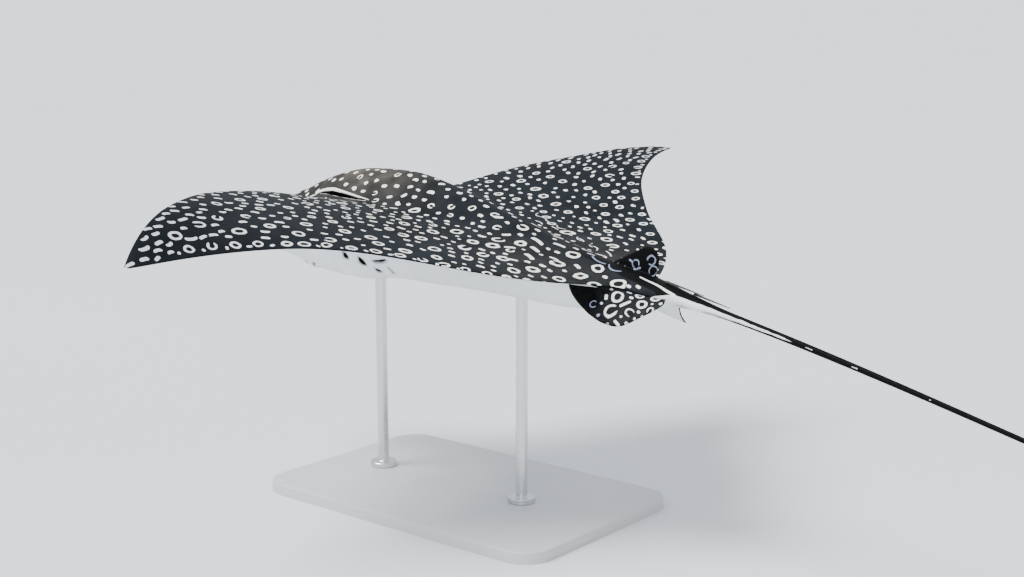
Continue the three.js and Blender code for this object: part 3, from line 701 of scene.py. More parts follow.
def sculpt(mesh, sizes):
    """Carves the spiracles, eye sockets, mouth, nostrils, gill slits and vent into the skin."""
    co, normal = read(mesh.vertices, "co", 3), read(mesh.vertex_normals, "vector", 3)
    top, under = fold(vertex_flats(mesh, TOP)), vertex_flats(mesh, UNDER)
    lift = np.zeros(len(co))
    # paint layers: white marks, painted shade in the hollows, pink inner skin
    paint = np.full((len(co), 3), -50.0)
    paint[:, PINK] = 0

    def cover(layer, inside):
        paint[:, layer] = np.maximum(paint[:, layer], inside)

    share, off = line_field(top, laid_line(SPIRACLE))
    wide = swell(share)
    half = sizes["spiracle"] * wide ** 0.55
    lift -= 11 * trough(off, half)
    lift += 1.2 * ridge(off - half - 3.5, 3.0) * wide ** 0.5
    # painted shade inside the spiracle
    cover(HOLLOW_SHADE, half - 0.4 - np.abs(off))
    cover(WHITE, 0.8 * ease(share, 0.45, 0.7) - np.abs(off - half - 0.8))
    share, off = line_field(top, laid_line(BROW))
    lift += 2.2 * ridge(off, 4.2) * swell(share) ** 0.6
    cover(WHITE, np.interp(share, [0, 0.12, 0.4, 0.7, 1.0], [1.0, 2.8, 3.6, 2.6, 1.0]) - np.abs(off))

    open_half = sizes["eye_opening"]
    for side in (1, -1):                   # lids drawn over the eyeball round its opening
        away = co - eye_centre(side)
        axis, forward, up = eye_axes(side)
        high, u, v = away @ axis, away @ forward, away @ up
        reach = np.hypot(u / 1.15, v / 0.88)
        ball = np.sqrt(np.maximum(EYE_RADIUS ** 2 - u * u - v * v, 0))
        lid = ball + mix(-4.5, 1.7, ease(reach, open_half - 1.0, open_half + 0.6))
        hold = (1 - ease(reach, open_half + 2.0, open_half + 7.0)) * (high > 0) * (reach < 25)
        crease = -1.5 * ridge(reach - open_half - 6.5, 1.8) * (high > 0)
        co += ((lid - high) * hold + crease)[:, None] * axis
        # painted shade round the rim of the eye's opening
        cover(HOLLOW_SHADE, np.where((high > 0) & (reach < 25), open_half + 1.2 - reach, -50))

    share, off = line_field(under, smooth_line(MOUTH))
    wide = swell(share)
    half = 3.2 * wide ** 0.4
    lift -= 10 * trough(off, half)
    lift += 2.0 * ridge(np.abs(off) - half - 3.5, 2.6) * wide ** 0.5
    cover(PINK, trough(off, half + 0.8) * 0.9)
    # painted shade inside the mouth
    cover(HOLLOW_SHADE, half - 1.2 - np.abs(off))
    low = fold(under)
    fringe = CURTAIN_REAR + 1.5 * np.cos(under[:, 0] * 2 * np.pi / 5.0)
    lift += 3.4 * ease(low[:, 1], CURTAIN_FRONT, CURTAIN_FRONT + 22) \
        * ease(fringe - low[:, 1], 0, 1.6) * ease(CURTAIN_HALF - low[:, 0], 0, 6)
    hole = np.hypot((low[:, 0] - NOSTRIL[0]) / 0.8, low[:, 1] - NOSTRIL[1])
    lift -= 7 * ease(5.5 - hole, 0, 3.5)
    # painted shade inside the nostril
    cover(HOLLOW_SHADE, 4.3 - hole)

    for width, slit in GILLS:
        share, off = line_field(low, laid_line(slit))
        wide = swell(share)
        half = width * wide ** 0.5
        lift -= 6 * trough(off, half)
        lift += 1.6 * ridge(np.abs(off) - half - 2.5, 2.2) * wide ** 0.5
        # painted shade inside the gill slit
        cover(HOLLOW_SHADE, half - 0.2 - np.abs(off))
    share, off = line_field(under, VENT)
    half = 2.6 * swell(share) ** 0.6
    lift -= 5 * trough(off, half)
    lift += 1.6 * ridge(np.abs(off) - half - 3, 2.4) * (half > 1)
    cover(PINK, trough(off, half + 1))

    # painted highlight: a thin white stripe beside the tail's root
    share, off = line_field(top, [lay(*point) for point in TAIL_HIGHLIGHT_STRIPE])
    cover(WHITE, mix(1.4, 2.6, share) - np.abs(off))

    co += lift[:, None] * normal
    mesh.vertices.foreach_set("co", co.ravel())
    store(mesh, "paint", "POINT", paint)
    mesh.update()


def eye_centre(side):
    """Middle of an eyeball in the ray's own frame."""
    return np.array([side * EYE_CENTRE[0] * DISC, behind(EYE_CENTRE[1]), EYE_CENTRE[2] * DISC])


def eye_axes(side):
    """Directions of an eye: outwards, forwards and upwards."""
    axis = np.array([side * 0.93, -0.26, 0.26])
    axis /= np.linalg.norm(axis)
    forward = np.array([0.0, -1.0, 0.0])
    forward -= axis * (forward @ axis)
    forward /= np.linalg.norm(forward)
    up = np.cross(forward, axis) * side
    return axis, forward, up


def refine(skin):
    """Cuts the faces round the small features finer, so that they can be carved."""
    mesh = skin.data
    top, under = fold(vertex_flats(mesh, TOP)), vertex_flats(mesh, UNDER)
    low = fold(under)

    def near(points, line, reach):
        return np.abs(line_field(points, line)[1]) < reach

    co = read(mesh.vertices, "co", 3)
    co[:, 0] = np.abs(co[:, 0])
    wanted = np.linalg.norm(co - eye_centre(1), axis=1) < 27
    wanted |= near(top, laid_line(SPIRACLE), 17)
    for width, slit in GILLS:
        wanted |= near(low, laid_line(slit), width + 7)
    wanted |= near(under, smooth_line(MOUTH), 12) | near(under, VENT, 9)
    wanted |= (low[:, 0] < 36) & (low[:, 1] > 124) & (low[:, 1] < 168)     # curtain and nostrils
    select_faces(skin, wanted)
    bpy.ops.object.mode_set(mode="EDIT")
    bpy.ops.mesh.subdivide(number_cuts=2, smoothness=0)
    bpy.ops.mesh.vertices_smooth(factor=0.5, repeat=2)
    bpy.ops.object.mode_set(mode="OBJECT")
    select_faces(skin, near(fold(vertex_flats(mesh, TOP)), laid_line(SPIRACLE), 9))
    bpy.ops.object.mode_set(mode="EDIT")
    bpy.ops.mesh.subdivide(number_cuts=1, smoothness=0)
    bpy.ops.object.mode_set(mode="OBJECT")


# ---- The white marks ----------------------------------------------------------------------

class Marks:
    """White marks on a laid-flat region: place, radius, turn, length, hole, gap and bend."""

    def __init__(self, seed):
        self.rng = np.random.RandomState(seed)
        self.rows = []
        self.near = np.zeros((0, 3))       # place and reach of the marks to keep clear of

    def table(self):
        return np.array(self.rows).reshape(-1, 8)

    def reach_table(self):
        """Place and reach of every mark so far."""
        t = self.table()
        return np.stack([t[:, 0], t[:, 1], t[:, 2] * (1 + 0.55 * t[:, 4])], 1)

    def add(self, a, b, radius, turn=0.0, long=0.0, hole=-1.0, gap=-1.0, bend=0.0):
        self.rows.append([a, b, radius, turn, long, hole, gap, bend])

    def clear(self, a, b, reach, gap):
        """Whether a round mark of this reach keeps its distance from the marks so far."""
        t = self.near
        return bool(np.all(np.hypot(t[:, 0] - a, t[:, 1] - b) > t[:, 2] + reach + gap))

    def scatter(self, tries, box, allowed, make):
        """Throws marks at random into a box; make() gives a mark and the gap round it."""
        self.near = self.reach_table()
        for _ in range(tries):
            a, b = (self.rng.uniform(*span) for span in box)
            if not allowed(a, b):
                continue
            mark, gap = make(a, b)
            reach = mark["radius"] * (1 + 0.55 * mark.get("long", 0))
            if self.clear(a, b, reach, gap):
                self.add(a, b, **mark)
                self.near = np.vstack([self.near, [a, b, reach]])

    def ring(self, radius, broken=0.2):
        """A hand-drawn ring: most are whole, some are broken into a C."""
        r = self.rng
        mark = {"radius": radius, "turn": r.uniform(0, 6.28), "long": r.uniform(0.0, 0.18),
                "hole": r.uniform(0.44, 0.56)}
        if r.uniform() < broken:
            mark["gap"] = r.uniform(0.25, 0.5)
        return mark

    def bar(self, a, radius, long, stray=0.4):
        """A short stroke: along the body on the back, across it towards the wing's tip."""
        r = self.rng
        turn = np.interp(abs(a), [60, 150, 350, 560, 700], [1.5, 1.75, 2.2, 2.9, 3.14])
        return {"radius": radius, "turn": math.copysign(turn + r.uniform(-stray, stray), a),
                "long": long, "bend": r.uniform(-0.3, 0.3) / (1 + long)}


# Rows of rings on the laid-flat back: first place, last place, how far the row bows backwards,
# how many rings, their first and last radius, and the share that is broken open
RING_ROWS = [
    ((660, 490), (495, 465), -8, 4, 10.0, 9.0, 0.4), ((615, 505), (355, 530), 5, 5, 12.0, 8.5, 0),
    ((565, 530), (270, 585), 15, 4, 11.0, 9.5, 0.3), ((510, 585), (190, 620), 15, 5, 9.5, 11.0, 0.2),
    ((358, 645), (135, 635), 4, 3, 10.0, 12.0, 0.3), ((340, 690), (125, 715), 0, 4, 11.0, 13.0, 0.2),
    ((297, 737), (162, 772), 0, 3, 10.0, 12.0, 0.2), ((245, 508), (432, 492), 0, 4, 8.5, 7.0, 0.2),
    ((210, 560), (110, 490), 0, 3, 10.5, 11.0, 0.5), ((80, 507), (30, 628), 0, 4, 7.0, 7.5, 0.7),
    ((62, 663), (150, 590), 0, 2, 8.0, 8.0, 0.9), ((31, 827), (54, 941), 0, 3, 12.3, 12.3, 0),
    ((88, 828), (82, 922), 8, 3, 12.0, 10.0, 0.4), ((117, 755), (145, 835), 0, 2, 8.0, 13.0, 0.9),
    ((-430, 395), (-415, 470), 0, 3, 8.0, 9.0, 0), ((-345, 452), (-272, 590), 0, 4, 10.3, 9.5, 0),
    ((-497, 476), (-568, 524), 6, 3, 9.0, 7.0, 0.2), ((-402, 546), (-347, 620), 8, 3, 8.3, 8.5, 0),
    ((-440, 559), (-401, 632), 4, 3, 8.8, 8.0, 0), ((-475, 609), (-413, 662), 0, 3, 7.4, 7.4, 0),
    ((-357, 657), (-263, 643), 8, 3, 8.0, 9.7, 0.3), ((-356, 714), (-192, 712), 0, 5, 8.0, 9.3, 0),
    ((-319, 745), (-144, 877), 0, 5, 8.0, 8.5, 0), ((-240, 551), (-178, 616), 0, 3, 8.0, 8.4, 0),
    ((-147, 668), (-147, 668), 0, 1, 13.2, 13.2, 0),
]
# Rows of strokes: first place, last place, how many, half width, turn, length in half widths
STROKE_ROWS = [
    ((40, 750), (108, 785), 3, 4.0, 1.3, 2.6), ((25, 785), (75, 812), 2, 3.2, 1.6, 2.4),
    ((30, 645), (147, 788), 4, 3.4, 2.2, 1.6), ((20, 867), (27, 906), 2, 1.9, 1.35, 8.0),
    ((58, 932), (47, 972), 4, 2.8, 1.5, 1.0),
    ((-205, 560), (-112, 750), 6, 1.2, 1.05, 12.0), ((-165, 595), (-108, 800), 6, 1.4, 1.15, 9.0),
]

ROOT_WIDTH = quarter_girth(BODY_PLACES, True)[:, 0]
ROOT_B = laid_b(BODY_PLACES)
MARKS_END = 985.0             # the tail's black begins here


def top_room(a, b):
    """Distances on the laid-flat top from the front edge and the rear edge, and the span share."""
    reach, place = abs(a), b / DISC
    s = (reach - LAID_ROOT) / WING_SPAN
    if s > 0.0:
        return b - float(leading_edge(s)) * DISC, float(trailing_edge(s)) * DISC - b, s
    width = float(np.interp(b, ROOT_B, ROOT_WIDTH))
    if WING_FRONT < place < WING_REAR:
        width = 400.0                      # no edge where the wings join on
    return width - reach, min(width - reach, MARKS_END - b), s


def wing_rear(side, s):
    """Laid-flat point of a wing's rear edge at a share of the span."""
    return side * (LAID_ROOT + s * WING_SPAN), float(trailing_edge(s)) * DISC


def top_marks(sizes):
    """Marks of the back and the wings' upper sides."""
    marks = Marks(11)
    rng = marks.rng
    spiracle = laid_line(SPIRACLE)
    eye = lay(EYE_CENTRE[1], 72.0)
    box = ((-767, 767), (60, 1040))        # all of the laid-flat top

    def clear_of_features(a, b):
        here = np.array([[abs(a), b]])
        return abs(line_field(here, spiracle)[1][0]) > 17 and np.hypot(*(here[0] - eye)) > 20

    for start, end, bow, count, first, last, broken in RING_ROWS:
        for t in np.linspace(0, 1, count):
            a = mix(start[0], end[0], t) + rng.uniform(-5, 5)
            b = mix(start[1], end[1], t) + bow * 4 * t * (1 - t) + rng.uniform(-5, 5)
            ring = marks.ring(mix(first, last, t), broken)
            marks.near = marks.reach_table()
            if marks.clear(a, b, ring["radius"], 9):
                marks.add(a, b, **ring)
    for start, end, count, half, turn, long in STROKE_ROWS:
        for t in np.linspace(0, 1, count):
            a = mix(start[0], end[0], t) + rng.uniform(-3, 3)
            b = mix(start[1], end[1], t) + rng.uniform(-3, 3)
            marks.add(a, b, half, turn + rng.uniform(-0.15, 0.15), long * rng.uniform(0.7, 1.3),
                      bend=rng.uniform(-0.06, 0.06))
    marks.near = marks.reach_table()
    for side in (1, -1):                      # rows of rings and dots just inside the rear edges
        s = 0.06
        while s < 0.84:
            a, b = wing_rear(side, s)
            radius = mix(10.5, 8.0, s)
            b -= rng.uniform(17, 21)
            if marks.clear(a, b, radius, 8):
                marks.add(a, b, **marks.ring(radius, 0.15))
            slope = (wing_rear(1, s + 0.01)[1] - wing_rear(1, s)[1]) / (0.01 * WING_SPAN)
            step = rng.uniform(37, 42) / math.hypot(1, slope) / WING_SPAN
            a, b = wing_rear(side, s + step / 2)
            b -= 11
            if marks.clear(a, b, 3.0, 2):
                marks.add(a, b, rng.uniform(2.4, 3.2), rng.uniform(0, 3), rng.uniform(0, 0.8))
            s += step

    def rear_allowed(a, b):
        front, rear, s = top_room(a, b)
        return 690 < b < 925 and 16 < abs(a) < 190 and rear > 20 and clear_of_features(a, b)

    marks.scatter(2600, ((-190, 190), (690, 925)), rear_allowed,
                  lambda a, b: (marks.ring(rng.uniform(10.5, 13.0), 0.35), 11.0))

    def wing_allowed(a, b):
        front, rear, s = top_room(a, b)
        return 0.02 < s < 0.66 and front > mix(70, 30, s) and rear > 24

    marks.scatter(9000, box, wing_allowed,
                  lambda a, b: (marks.ring(rng.uniform(*sizes["ring"]), 0.25), sizes["ring_gap"]))

    def tip_allowed(a, b):
        front, rear, s = top_room(a, b)
        return s > 0.52 and min(front, rear) > 6 and s < 0.988

    def tip_mark(a, b):
        inner = ease(-abs(a), -640, -520)
        half = rng.uniform(3.0, 3.7) + 0.5 * inner
        return marks.bar(a, half, rng.uniform(0.8, 2.0) * (1 - 0.4 * inner), 0.35), 5.5 + 5 * inner

    for tip in ((430, 767), (-767, -430)):
        marks.scatter(9000, (tip, (300, 660)), tip_allowed, tip_mark)

    def dome_allowed(a, b):
        front, rear, s = top_room(a, b)
        return abs(a) < 112 and 165 < b < 620 and front > 9 and clear_of_features(a, b)

    def dome_mark(a, b):
        if rng.uniform() < 0.12:
            return marks.ring(rng.uniform(5.5, 7.0), 0.9), 11.0
        return marks.bar(a, rng.uniform(3.5, 4.6), rng.uniform(0.1, 0.9), 1.0), 12.5

    marks.scatter(5000, ((-112, 112), (165, 620)), dome_allowed, dome_mark)

    def fill_allowed(a, b):
        front, rear, s = top_room(a, b)
        # no marks on the strip of jet black and painted shade along the back before the tail
        dark_strip_half = max(16, 38 + 0.3 * (b - 925)) if b > 860 else 0
        return min(front, rear) > 7 and clear_of_features(a, b) and abs(a) > dark_strip_half

    def crowded(a, b):
        """Where the marks are smallest: the head's front, below the spiracle, the wing's rear root."""
        rear = wing_rear(1, max(0, (abs(a) - LAID_ROOT) / WING_SPAN))[1] - b < 34
        return b < 165 or (b < 350 and 85 < abs(a) < 270) or (rear and 110 < abs(a) < 235)

    def fill_mark(a, b):
        if crowded(a, b):
            return marks.bar(a, rng.uniform(2.4, 3.4), rng.uniform(0.3, 1.5)), 7.0
        if abs(a) > 300:
            return marks.bar(a, rng.uniform(3.2, 4.6), rng.uniform(0.2, 1.0)), 11.5
        return marks.bar(a, rng.uniform(2.8, 4.1), rng.uniform(0.2, 1.3)), 10.0

    marks.scatter(34000, box, fill_allowed, fill_mark)
    return marks.table()


PELVIC_MARKS = [                       # a, place along, radius, turn, long, hole, gap
    (54, 951, 11.5, 0.2, 0.15, 0.55, -1), (30, 985, 9.0, 0.4, 0.1, 0.5, -1),
    (84, 955, 12.0, 2.4, 0.10, 0.62, 0.45), (62, 972, 2.8, 2.5, 3.0, -1, -1),
    (75, 989, 7.5, 1.2, 0.2, 0.58, 0.7), (26, 1016, 10.5, 0.5, 0.1, 0.5, -1),
    (51, 1001, 9.5, 0.1, 0.1, 0.5, -1), (83, 917, 7.0, 2.0, 0.0, 0.66, 0.5),
    (63, 932, 3.2, 0.5, 0.8, -1, -1), (58, 1022, 6.0, 0.1, 0.1, 0.5, 0.5),
    (100, 978, 2.4, 1.2, 2.4, -1, -1),
]


def pelvic_marks(seed):
    """Marks of a pelvic fin's upper side: large open rings and strokes, with dots between."""
    marks = Marks(seed)
    rng = marks.rng
    for mark in PELVIC_MARKS:
        marks.add(*mark)
    marks.scatter(3000, ((0, 115), (930, 1045)), lambda a, b: True,
                  lambda a, b: (marks.bar(a, rng.uniform(2.2, 3.2), rng.uniform(0, 1.2)), 4.5))
    return marks.table()


DORSAL_MARKS = [                       # height, place along, radius, turn, long, hole, gap
    (33, 936, 8.0, 2.6, 0.0, 0.70, 0.5), (22, 906, 8.5, 0.2, 0.35, 0.74, 0.9),
    (44, 966, 9.0, -2.2, 0.0, 0.72, 0.35), (27, 972, 8.0, -2.6, 0.25, 0.72, 0.35),
    (25, 940, 1.9, 1.2, 3.2, -1, -1), (36, 925, 1.8, 1.9, 1.6, -1, -1),
    (14, 952, 1.8, 0.9, 2.2, -1, -1),
]


def dorsal_marks():
    """Bluish hooks and strokes on both sides of the dorsal fin."""
    marks = Marks(5)
    for mark in DORSAL_MARKS:
        marks.add(*mark)
    return marks.table()


def mark_skin(mesh, sizes):
    """Gives every face its nearest mark: the corner's place in that mark's own frame."""
    flat = corner_flats(mesh).astype(float) * 1000
    regions, starts, totals = face_table(mesh)
    centre = np.add.reduceat(flat, starts) / totals[:, None]
    owner = np.repeat(np.arange(len(regions)), totals)
    frames = np.full((len(flat), 3), 9.0)      # far outside any mark
    frames[:, 2] = 0
    shapes = np.zeros((len(regions), 3))

    def turned(a, b, mark):
        """Offsets from marks, along and across their own directions."""
        da, db = a - mark[:, 0], b - mark[:, 1]
        cos, sin = np.cos(mark[:, 3]), np.sin(mark[:, 3])
        return da * cos + db * sin, db * cos - da * sin

    for region, marks in ((TOP, top_marks(sizes)), (PELVIC_LEFT, pelvic_marks(3)),
                          (PELVIC_RIGHT, pelvic_marks(4)), (DORSAL_SIDES, dorsal_marks())):
        lie = fold if region != TOP else np.array
        faces = np.nonzero(regions == region)[0]
        nearest = np.zeros(len(regions), int)
        for start in range(0, len(faces), 2000):
            part = faces[start:start + 2000]
            x, y = turned(*lie(centre[part]).T[:, :, None], marks)
            along = np.maximum(np.abs(x) - marks[:, 4] * marks[:, 2], 0)
            nearest[part] = (np.hypot(along, y) - marks[:, 2]).argmin(1)
        corners = np.nonzero(regions[owner] == region)[0]
        mark = marks[nearest[owner[corners]]]
        x, y = turned(*lie(flat[corners]).T, mark)
        frames[corners] = np.stack([x / mark[:, 2], y / mark[:, 2], mark[:, 7]], 1)
        shapes[faces] = marks[nearest[faces], 4:7]
    store(mesh, "mark_frame", "CORNER", frames)
    store(mesh, "mark_shape", "FACE", shapes)


# Width of the sheet that all regions are laid out on, in laid-flat mm
ATLAS = 1560.0
UNDER_SCALE = 0.36            # the plain underside is drawn smaller
TAIL_STRIP = 760.0            # the slim tail is cut into strips of this length
FIN_FRONT = PELVIC_FRONT * DISC


def unwrap(mesh):
    """Lays every region out on one sheet, the back largest, as the UV map OFBake for a colour map."""
    a, b = (corner_flats(mesh).astype(float) * 1000).T
    regions, starts, totals = face_table(mesh)
    region = np.repeat(regions, totals)
    front, rear = laid_b(0.0), TAIL_SLIM * DISC
    strip = np.repeat(np.floor((np.add.reduceat(b, starts) / totals - rear) / TAIL_STRIP), totals)
    u = 0.5 + a / ATLAS
    v = 0.992 - (b - front) / ATLAS
    fin = (b - FIN_FRONT) / ATLAS
    layouts = {
        UNDER: (0.20 + a * UNDER_SCALE / ATLAS, 0.012 + (rear - b) * UNDER_SCALE / ATLAS),
        TAIL: (0.42 + (b - rear - TAIL_STRIP * strip) / ATLAS,
               0.03 + 0.036 * strip + (a + TAIL_LAID) / ATLAS),
        PELVIC_LEFT: (0.03 + a / ATLAS, 0.32 + fin),
        PELVIC_RIGHT: (0.89 + a / ATLAS, 0.32 + fin),
        PELVIC_UNDER: (np.where(a > 0, 0.12, 0.88) + a / ATLAS, 0.32 + fin),
        DORSAL_SIDES: (np.where(a > 0, 0.21, 0.80) + a / ATLAS, 0.30 + fin),
    }
    for kind, (x, y) in layouts.items():
        inside = region == kind
        u[inside], v[inside] = x[inside], y[inside]
    store_map(mesh, "OFBake", np.stack([u, v], 1))


# ---- Materials ----------------------------------------------------------------------------

ATTRIBUTE, MATH, MAP, MIX = ("ShaderNodeAttribute", "ShaderNodeMath", "ShaderNodeMapRange",
                             "ShaderNodeMix")
NOISE, VECTOR, SPLIT, JOIN = ("ShaderNodeTexNoise", "ShaderNodeVectorMath", "ShaderNodeSeparateXYZ",
                              "ShaderNodeCombineXYZ")
PLACE, MAPPING, BUMP = "ShaderNodeTexCoord", "ShaderNodeMapping", "ShaderNodeBump"
RGBA = {"out": 2, "data_type": "RGBA"}
SMOOTH = {"interpolation_type": "SMOOTHSTEP"}


def colour(hex_value):
    """Linear RGBA of an sRGB hex value."""
    parts = [int(hex_value[i:i + 2], 16) / 255 for i in (1, 3, 5)]
    return [p / 12.92 if p <= 0.04045 else ((p + 0.055) / 1.055) ** 2.4 for p in parts] + [1.0]


def add(tree, kind, inputs=None, out=0, **settings):
    """Adds a node with its settings and its inputs, values or other nodes' outputs."""
    node = tree.nodes.new(kind)
    for name, value in settings.items():
        setattr(node, name, value)
    for socket, value in (inputs or {}).items():
        if isinstance(value, bpy.types.NodeSocket):
            tree.links.new(value, node.inputs[socket])
        else:
            node.inputs[socket].default_value = value
    return node.outputs[out] if len(node.outputs) else node


def new_material(name, **shader_values):
    """A material with an empty Principled shader; returns it, its tree and the shader."""
    material = bpy.data.materials.new(name)
    material.use_nodes = True
    tree = material.node_tree
    shader = tree.nodes["Principled BSDF"]
    for socket, value in shader_values.items():
        shader.inputs[socket.replace("_", " ")].default_value = value
    return material, tree, shader


def connect(tree, shader, **outputs):
    """Links nodes' outputs to the shader's sockets."""
    for socket, output in outputs.items():
        tree.links.new(output, shader.inputs[socket.replace("_", " ")])


def ray_skin_material(look):
    """Wet fish skin: smooth slime over fine grain, charcoal back, white belly, crisp white marks."""
    material, tree, shader = new_material("wet_fish_skin", Specular_IOR_Level=0.07)
    place = add(tree, PLACE, out="Object")
    frame_at = add(tree, ATTRIBUTE, out="Vector", attribute_name="mark_frame")
    shape_at = add(tree, SPLIT, {0: add(tree, ATTRIBUTE, out="Vector", attribute_name="mark_shape")})
    coat = add(tree, SPLIT, {0: add(tree, ATTRIBUTE, out="Vector", attribute_name="coat")})
    paint = add(tree, SPLIT, {0: add(tree, ATTRIBUTE, out="Vector", attribute_name="paint")})
    long, hole, gap = shape_at.node.outputs
    edge, brown_dusk_and_painted_shade, black = coat.node.outputs
    stripe, hollow_shade, pink = paint.node.outputs
    wobble = add(tree, NOISE, {"Vector": place, "Scale": 75.0, "Detail": 1.0}, out="Color")
    wobble = add(tree, VECTOR, {0: wobble, 1: (-0.5, -0.5, -0.5)}, operation="ADD")
    wobble = add(tree, VECTOR, {0: wobble, 1: (0.42, 0.42, 0.0)}, operation="MULTIPLY")
    local = add(tree, SPLIT, {0: add(tree, VECTOR, {0: frame_at, 1: wobble}, operation="ADD")})
    x, y, bend = local.node.outputs
    curved = add(tree, MATH, {0: x, 1: x}, operation="MULTIPLY")
    curved = add(tree, MATH, {0: curved, 1: bend}, operation="MULTIPLY")
    y = add(tree, MATH, {0: y, 1: curved}, operation="SUBTRACT")
    reach = add(tree, MATH, {0: x}, operation="ABSOLUTE")
    reach = add(tree, MATH, {0: reach, 1: long}, operation="SUBTRACT")
    reach = add(tree, MATH, {0: reach, 1: 0.0}, operation="MAXIMUM")
    away = add(tree, VECTOR, {0: add(tree, JOIN, {0: reach, 1: y})}, out="Value", operation="LENGTH")
    filled = add(tree, MAP, {"Value": away, 1: 1.05, 2: 0.93}, **SMOOTH)
    inner = add(tree, MATH, {0: away, 1: hole}, operation="SUBTRACT")
    inner = add(tree, MAP, {"Value": inner, 1: -0.07, 2: 0.07}, **SMOOTH)
    beside = add(tree, MATH, {0: y}, operation="ABSOLUTE")
    beside = add(tree, MATH, {0: beside, 1: gap}, operation="SUBTRACT")
    beside = add(tree, MAP, {"Value": beside, 1: -0.06, 2: 0.06})
    behind_it = add(tree, MAP, {"Value": x, 1: 0.06, 2: -0.06})
    closed = add(tree, MATH, {0: beside, 1: behind_it}, operation="MAXIMUM")
    mark = add(tree, MATH, {0: filled, 1: inner}, operation="MULTIPLY")
    mark = add(tree, MATH, {0: mark, 1: closed}, operation="MULTIPLY")
    halo = add(tree, MAP, {"Value": away, 1: 1.0, 2: 1.5, 3: 0.5, 4: 0.0})

    cloud = add(tree, NOISE, {"Vector": place, "Scale": 14.0, "Detail": 4.0, "Roughness": 0.6})
    speck = add(tree, NOISE, {"Vector": place, "Scale": 160.0, "Detail": 3.0, "Roughness": 0.7})
    brown = add(tree, MATH, {0: cloud, 1: brown_dusk_and_painted_shade}, operation="MULTIPLY")
    brown = add(tree, MATH, {0: brown, 1: 1.7}, operation="MULTIPLY", use_clamp=True)
    back = add(tree, MIX, {0: brown, 6: look.back, 7: look.brown}, **RGBA)
    patchy = add(tree, MAP, {"Value": cloud, 1: 0.30, 2: 0.72, 3: 0.55, 4: 1.7})
    grain = add(tree, MAP, {"Value": speck, 1: 0.3, 2: 0.7, 3: 0.9, 4: 1.1})
    patchy = add(tree, MATH, {0: patchy, 1: grain}, operation="MULTIPLY")
    back = add(tree, VECTOR, {0: back, "Scale": patchy}, operation="SCALE")
    # black: jet black of the tail and fins; painted shade on the back's strip before the tail; the
    # wing's painted shadow on the pelvic fins' fronts
    back = add(tree, MIX, {0: black, 6: back, 7: look.black}, **RGBA)
    back = add(tree, MIX, {0: halo, 6: back, 7: look.black}, **RGBA)
    # marks on black skin are blue-grey; in the wing's painted shadow on the pelvic fins this dims them
    # as painted shade
    bright = add(tree, MIX, {0: black, 6: look.mark, 7: look.blue_mark}, **RGBA)
    back = add(tree, MIX, {0: mark, 6: back, 7: bright}, **RGBA)

    ragged = add(tree, NOISE, {"Vector": place, "Scale": 60.0, "Detail": 3.0})
    ragged = add(tree, MAP, {"Value": ragged, 1: 0.3, 2: 0.7, 3: -1.6, 4: 1.6})
    side = add(tree, MATH, {0: edge, 1: ragged}, operation="ADD")
    is_back = add(tree, MAP, {"Value": side, 1: -3.6, 2: -2.4}, **SMOOTH)
    shade = add(tree, MAP, {"Value": cloud, 1: 0.3, 2: 0.7, 3: 0.0, 4: 0.35})
    belly = add(tree, MIX, {0: shade, 6: look.belly, 7: look.belly_shade}, **RGBA)
    # the grey under the wing tips, with painted shade under the rear body and tail
    dusk_and_painted_shade = add(tree, MATH, {0: brown_dusk_and_painted_shade, 1: add(tree, MAP, {"Value": cloud, 1: 0.35, 2: 0.6})},
               operation="MULTIPLY", use_clamp=True)
    belly = add(tree, MIX, {0: dusk_and_painted_shade, 6: belly, 7: look.dusk_and_painted_shade}, **RGBA)
    # painted shade: grey round the gill slits, nostrils and mouth
    painted_hollow_shade = add(tree, MAP, {"Value": hollow_shade, 1: -7.0, 2: -0.5, 3: 0.0, 4: 0.6}, **SMOOTH)
    belly = add(tree, MIX, {0: painted_hollow_shade, 6: belly, 7: look.dusk_and_painted_shade}, **RGBA)
    base = add(tree, MIX, {0: is_back, 6: belly, 7: back}, **RGBA)
    # white of the brow and the spiracle's rim, and the painted highlight stripe beside the tail's root
    striped = add(tree, MATH, {0: ragged, 1: 0.25, 2: stripe}, operation="MULTIPLY_ADD")
    striped = add(tree, MAP, {"Value": striped, 1: -0.5, 2: 0.5}, **SMOOTH)
    base = add(tree, MIX, {0: striped, 6: base, 7: look.mark}, **RGBA)
    base = add(tree, MIX, {0: pink, 6: base, 7: look.inner}, **RGBA)
    # painted shade: near black inside the hollows
    dark = add(tree, MAP, {"Value": hollow_shade, 1: -0.7, 2: 0.7}, **SMOOTH)
    base = add(tree, MIX, {0: dark, 6: base, 7: colour("#050506")}, **RGBA)

    rough = add(tree, MAP, {"Value": speck, 1: 0.3, 2: 0.7, 3: look.roughness - 0.07,
                            4: look.roughness + 0.09})
    fine = add(tree, NOISE, {"Vector": place, "Scale": 420.0, "Detail": 2.0})
    folds = add(tree, NOISE, {"Vector": place, "Scale": 34.0, "Detail": 3.0})
    relief = add(tree, MATH, {0: fine, 1: 0.18, 2: folds}, operation="MULTIPLY_ADD")
    bump = add(tree, BUMP, {"Strength": 0.35, "Distance": 0.0012, "Height": relief})
    connect(tree, shader, Base_Color=base, Roughness=rough, Normal=bump)
    return material


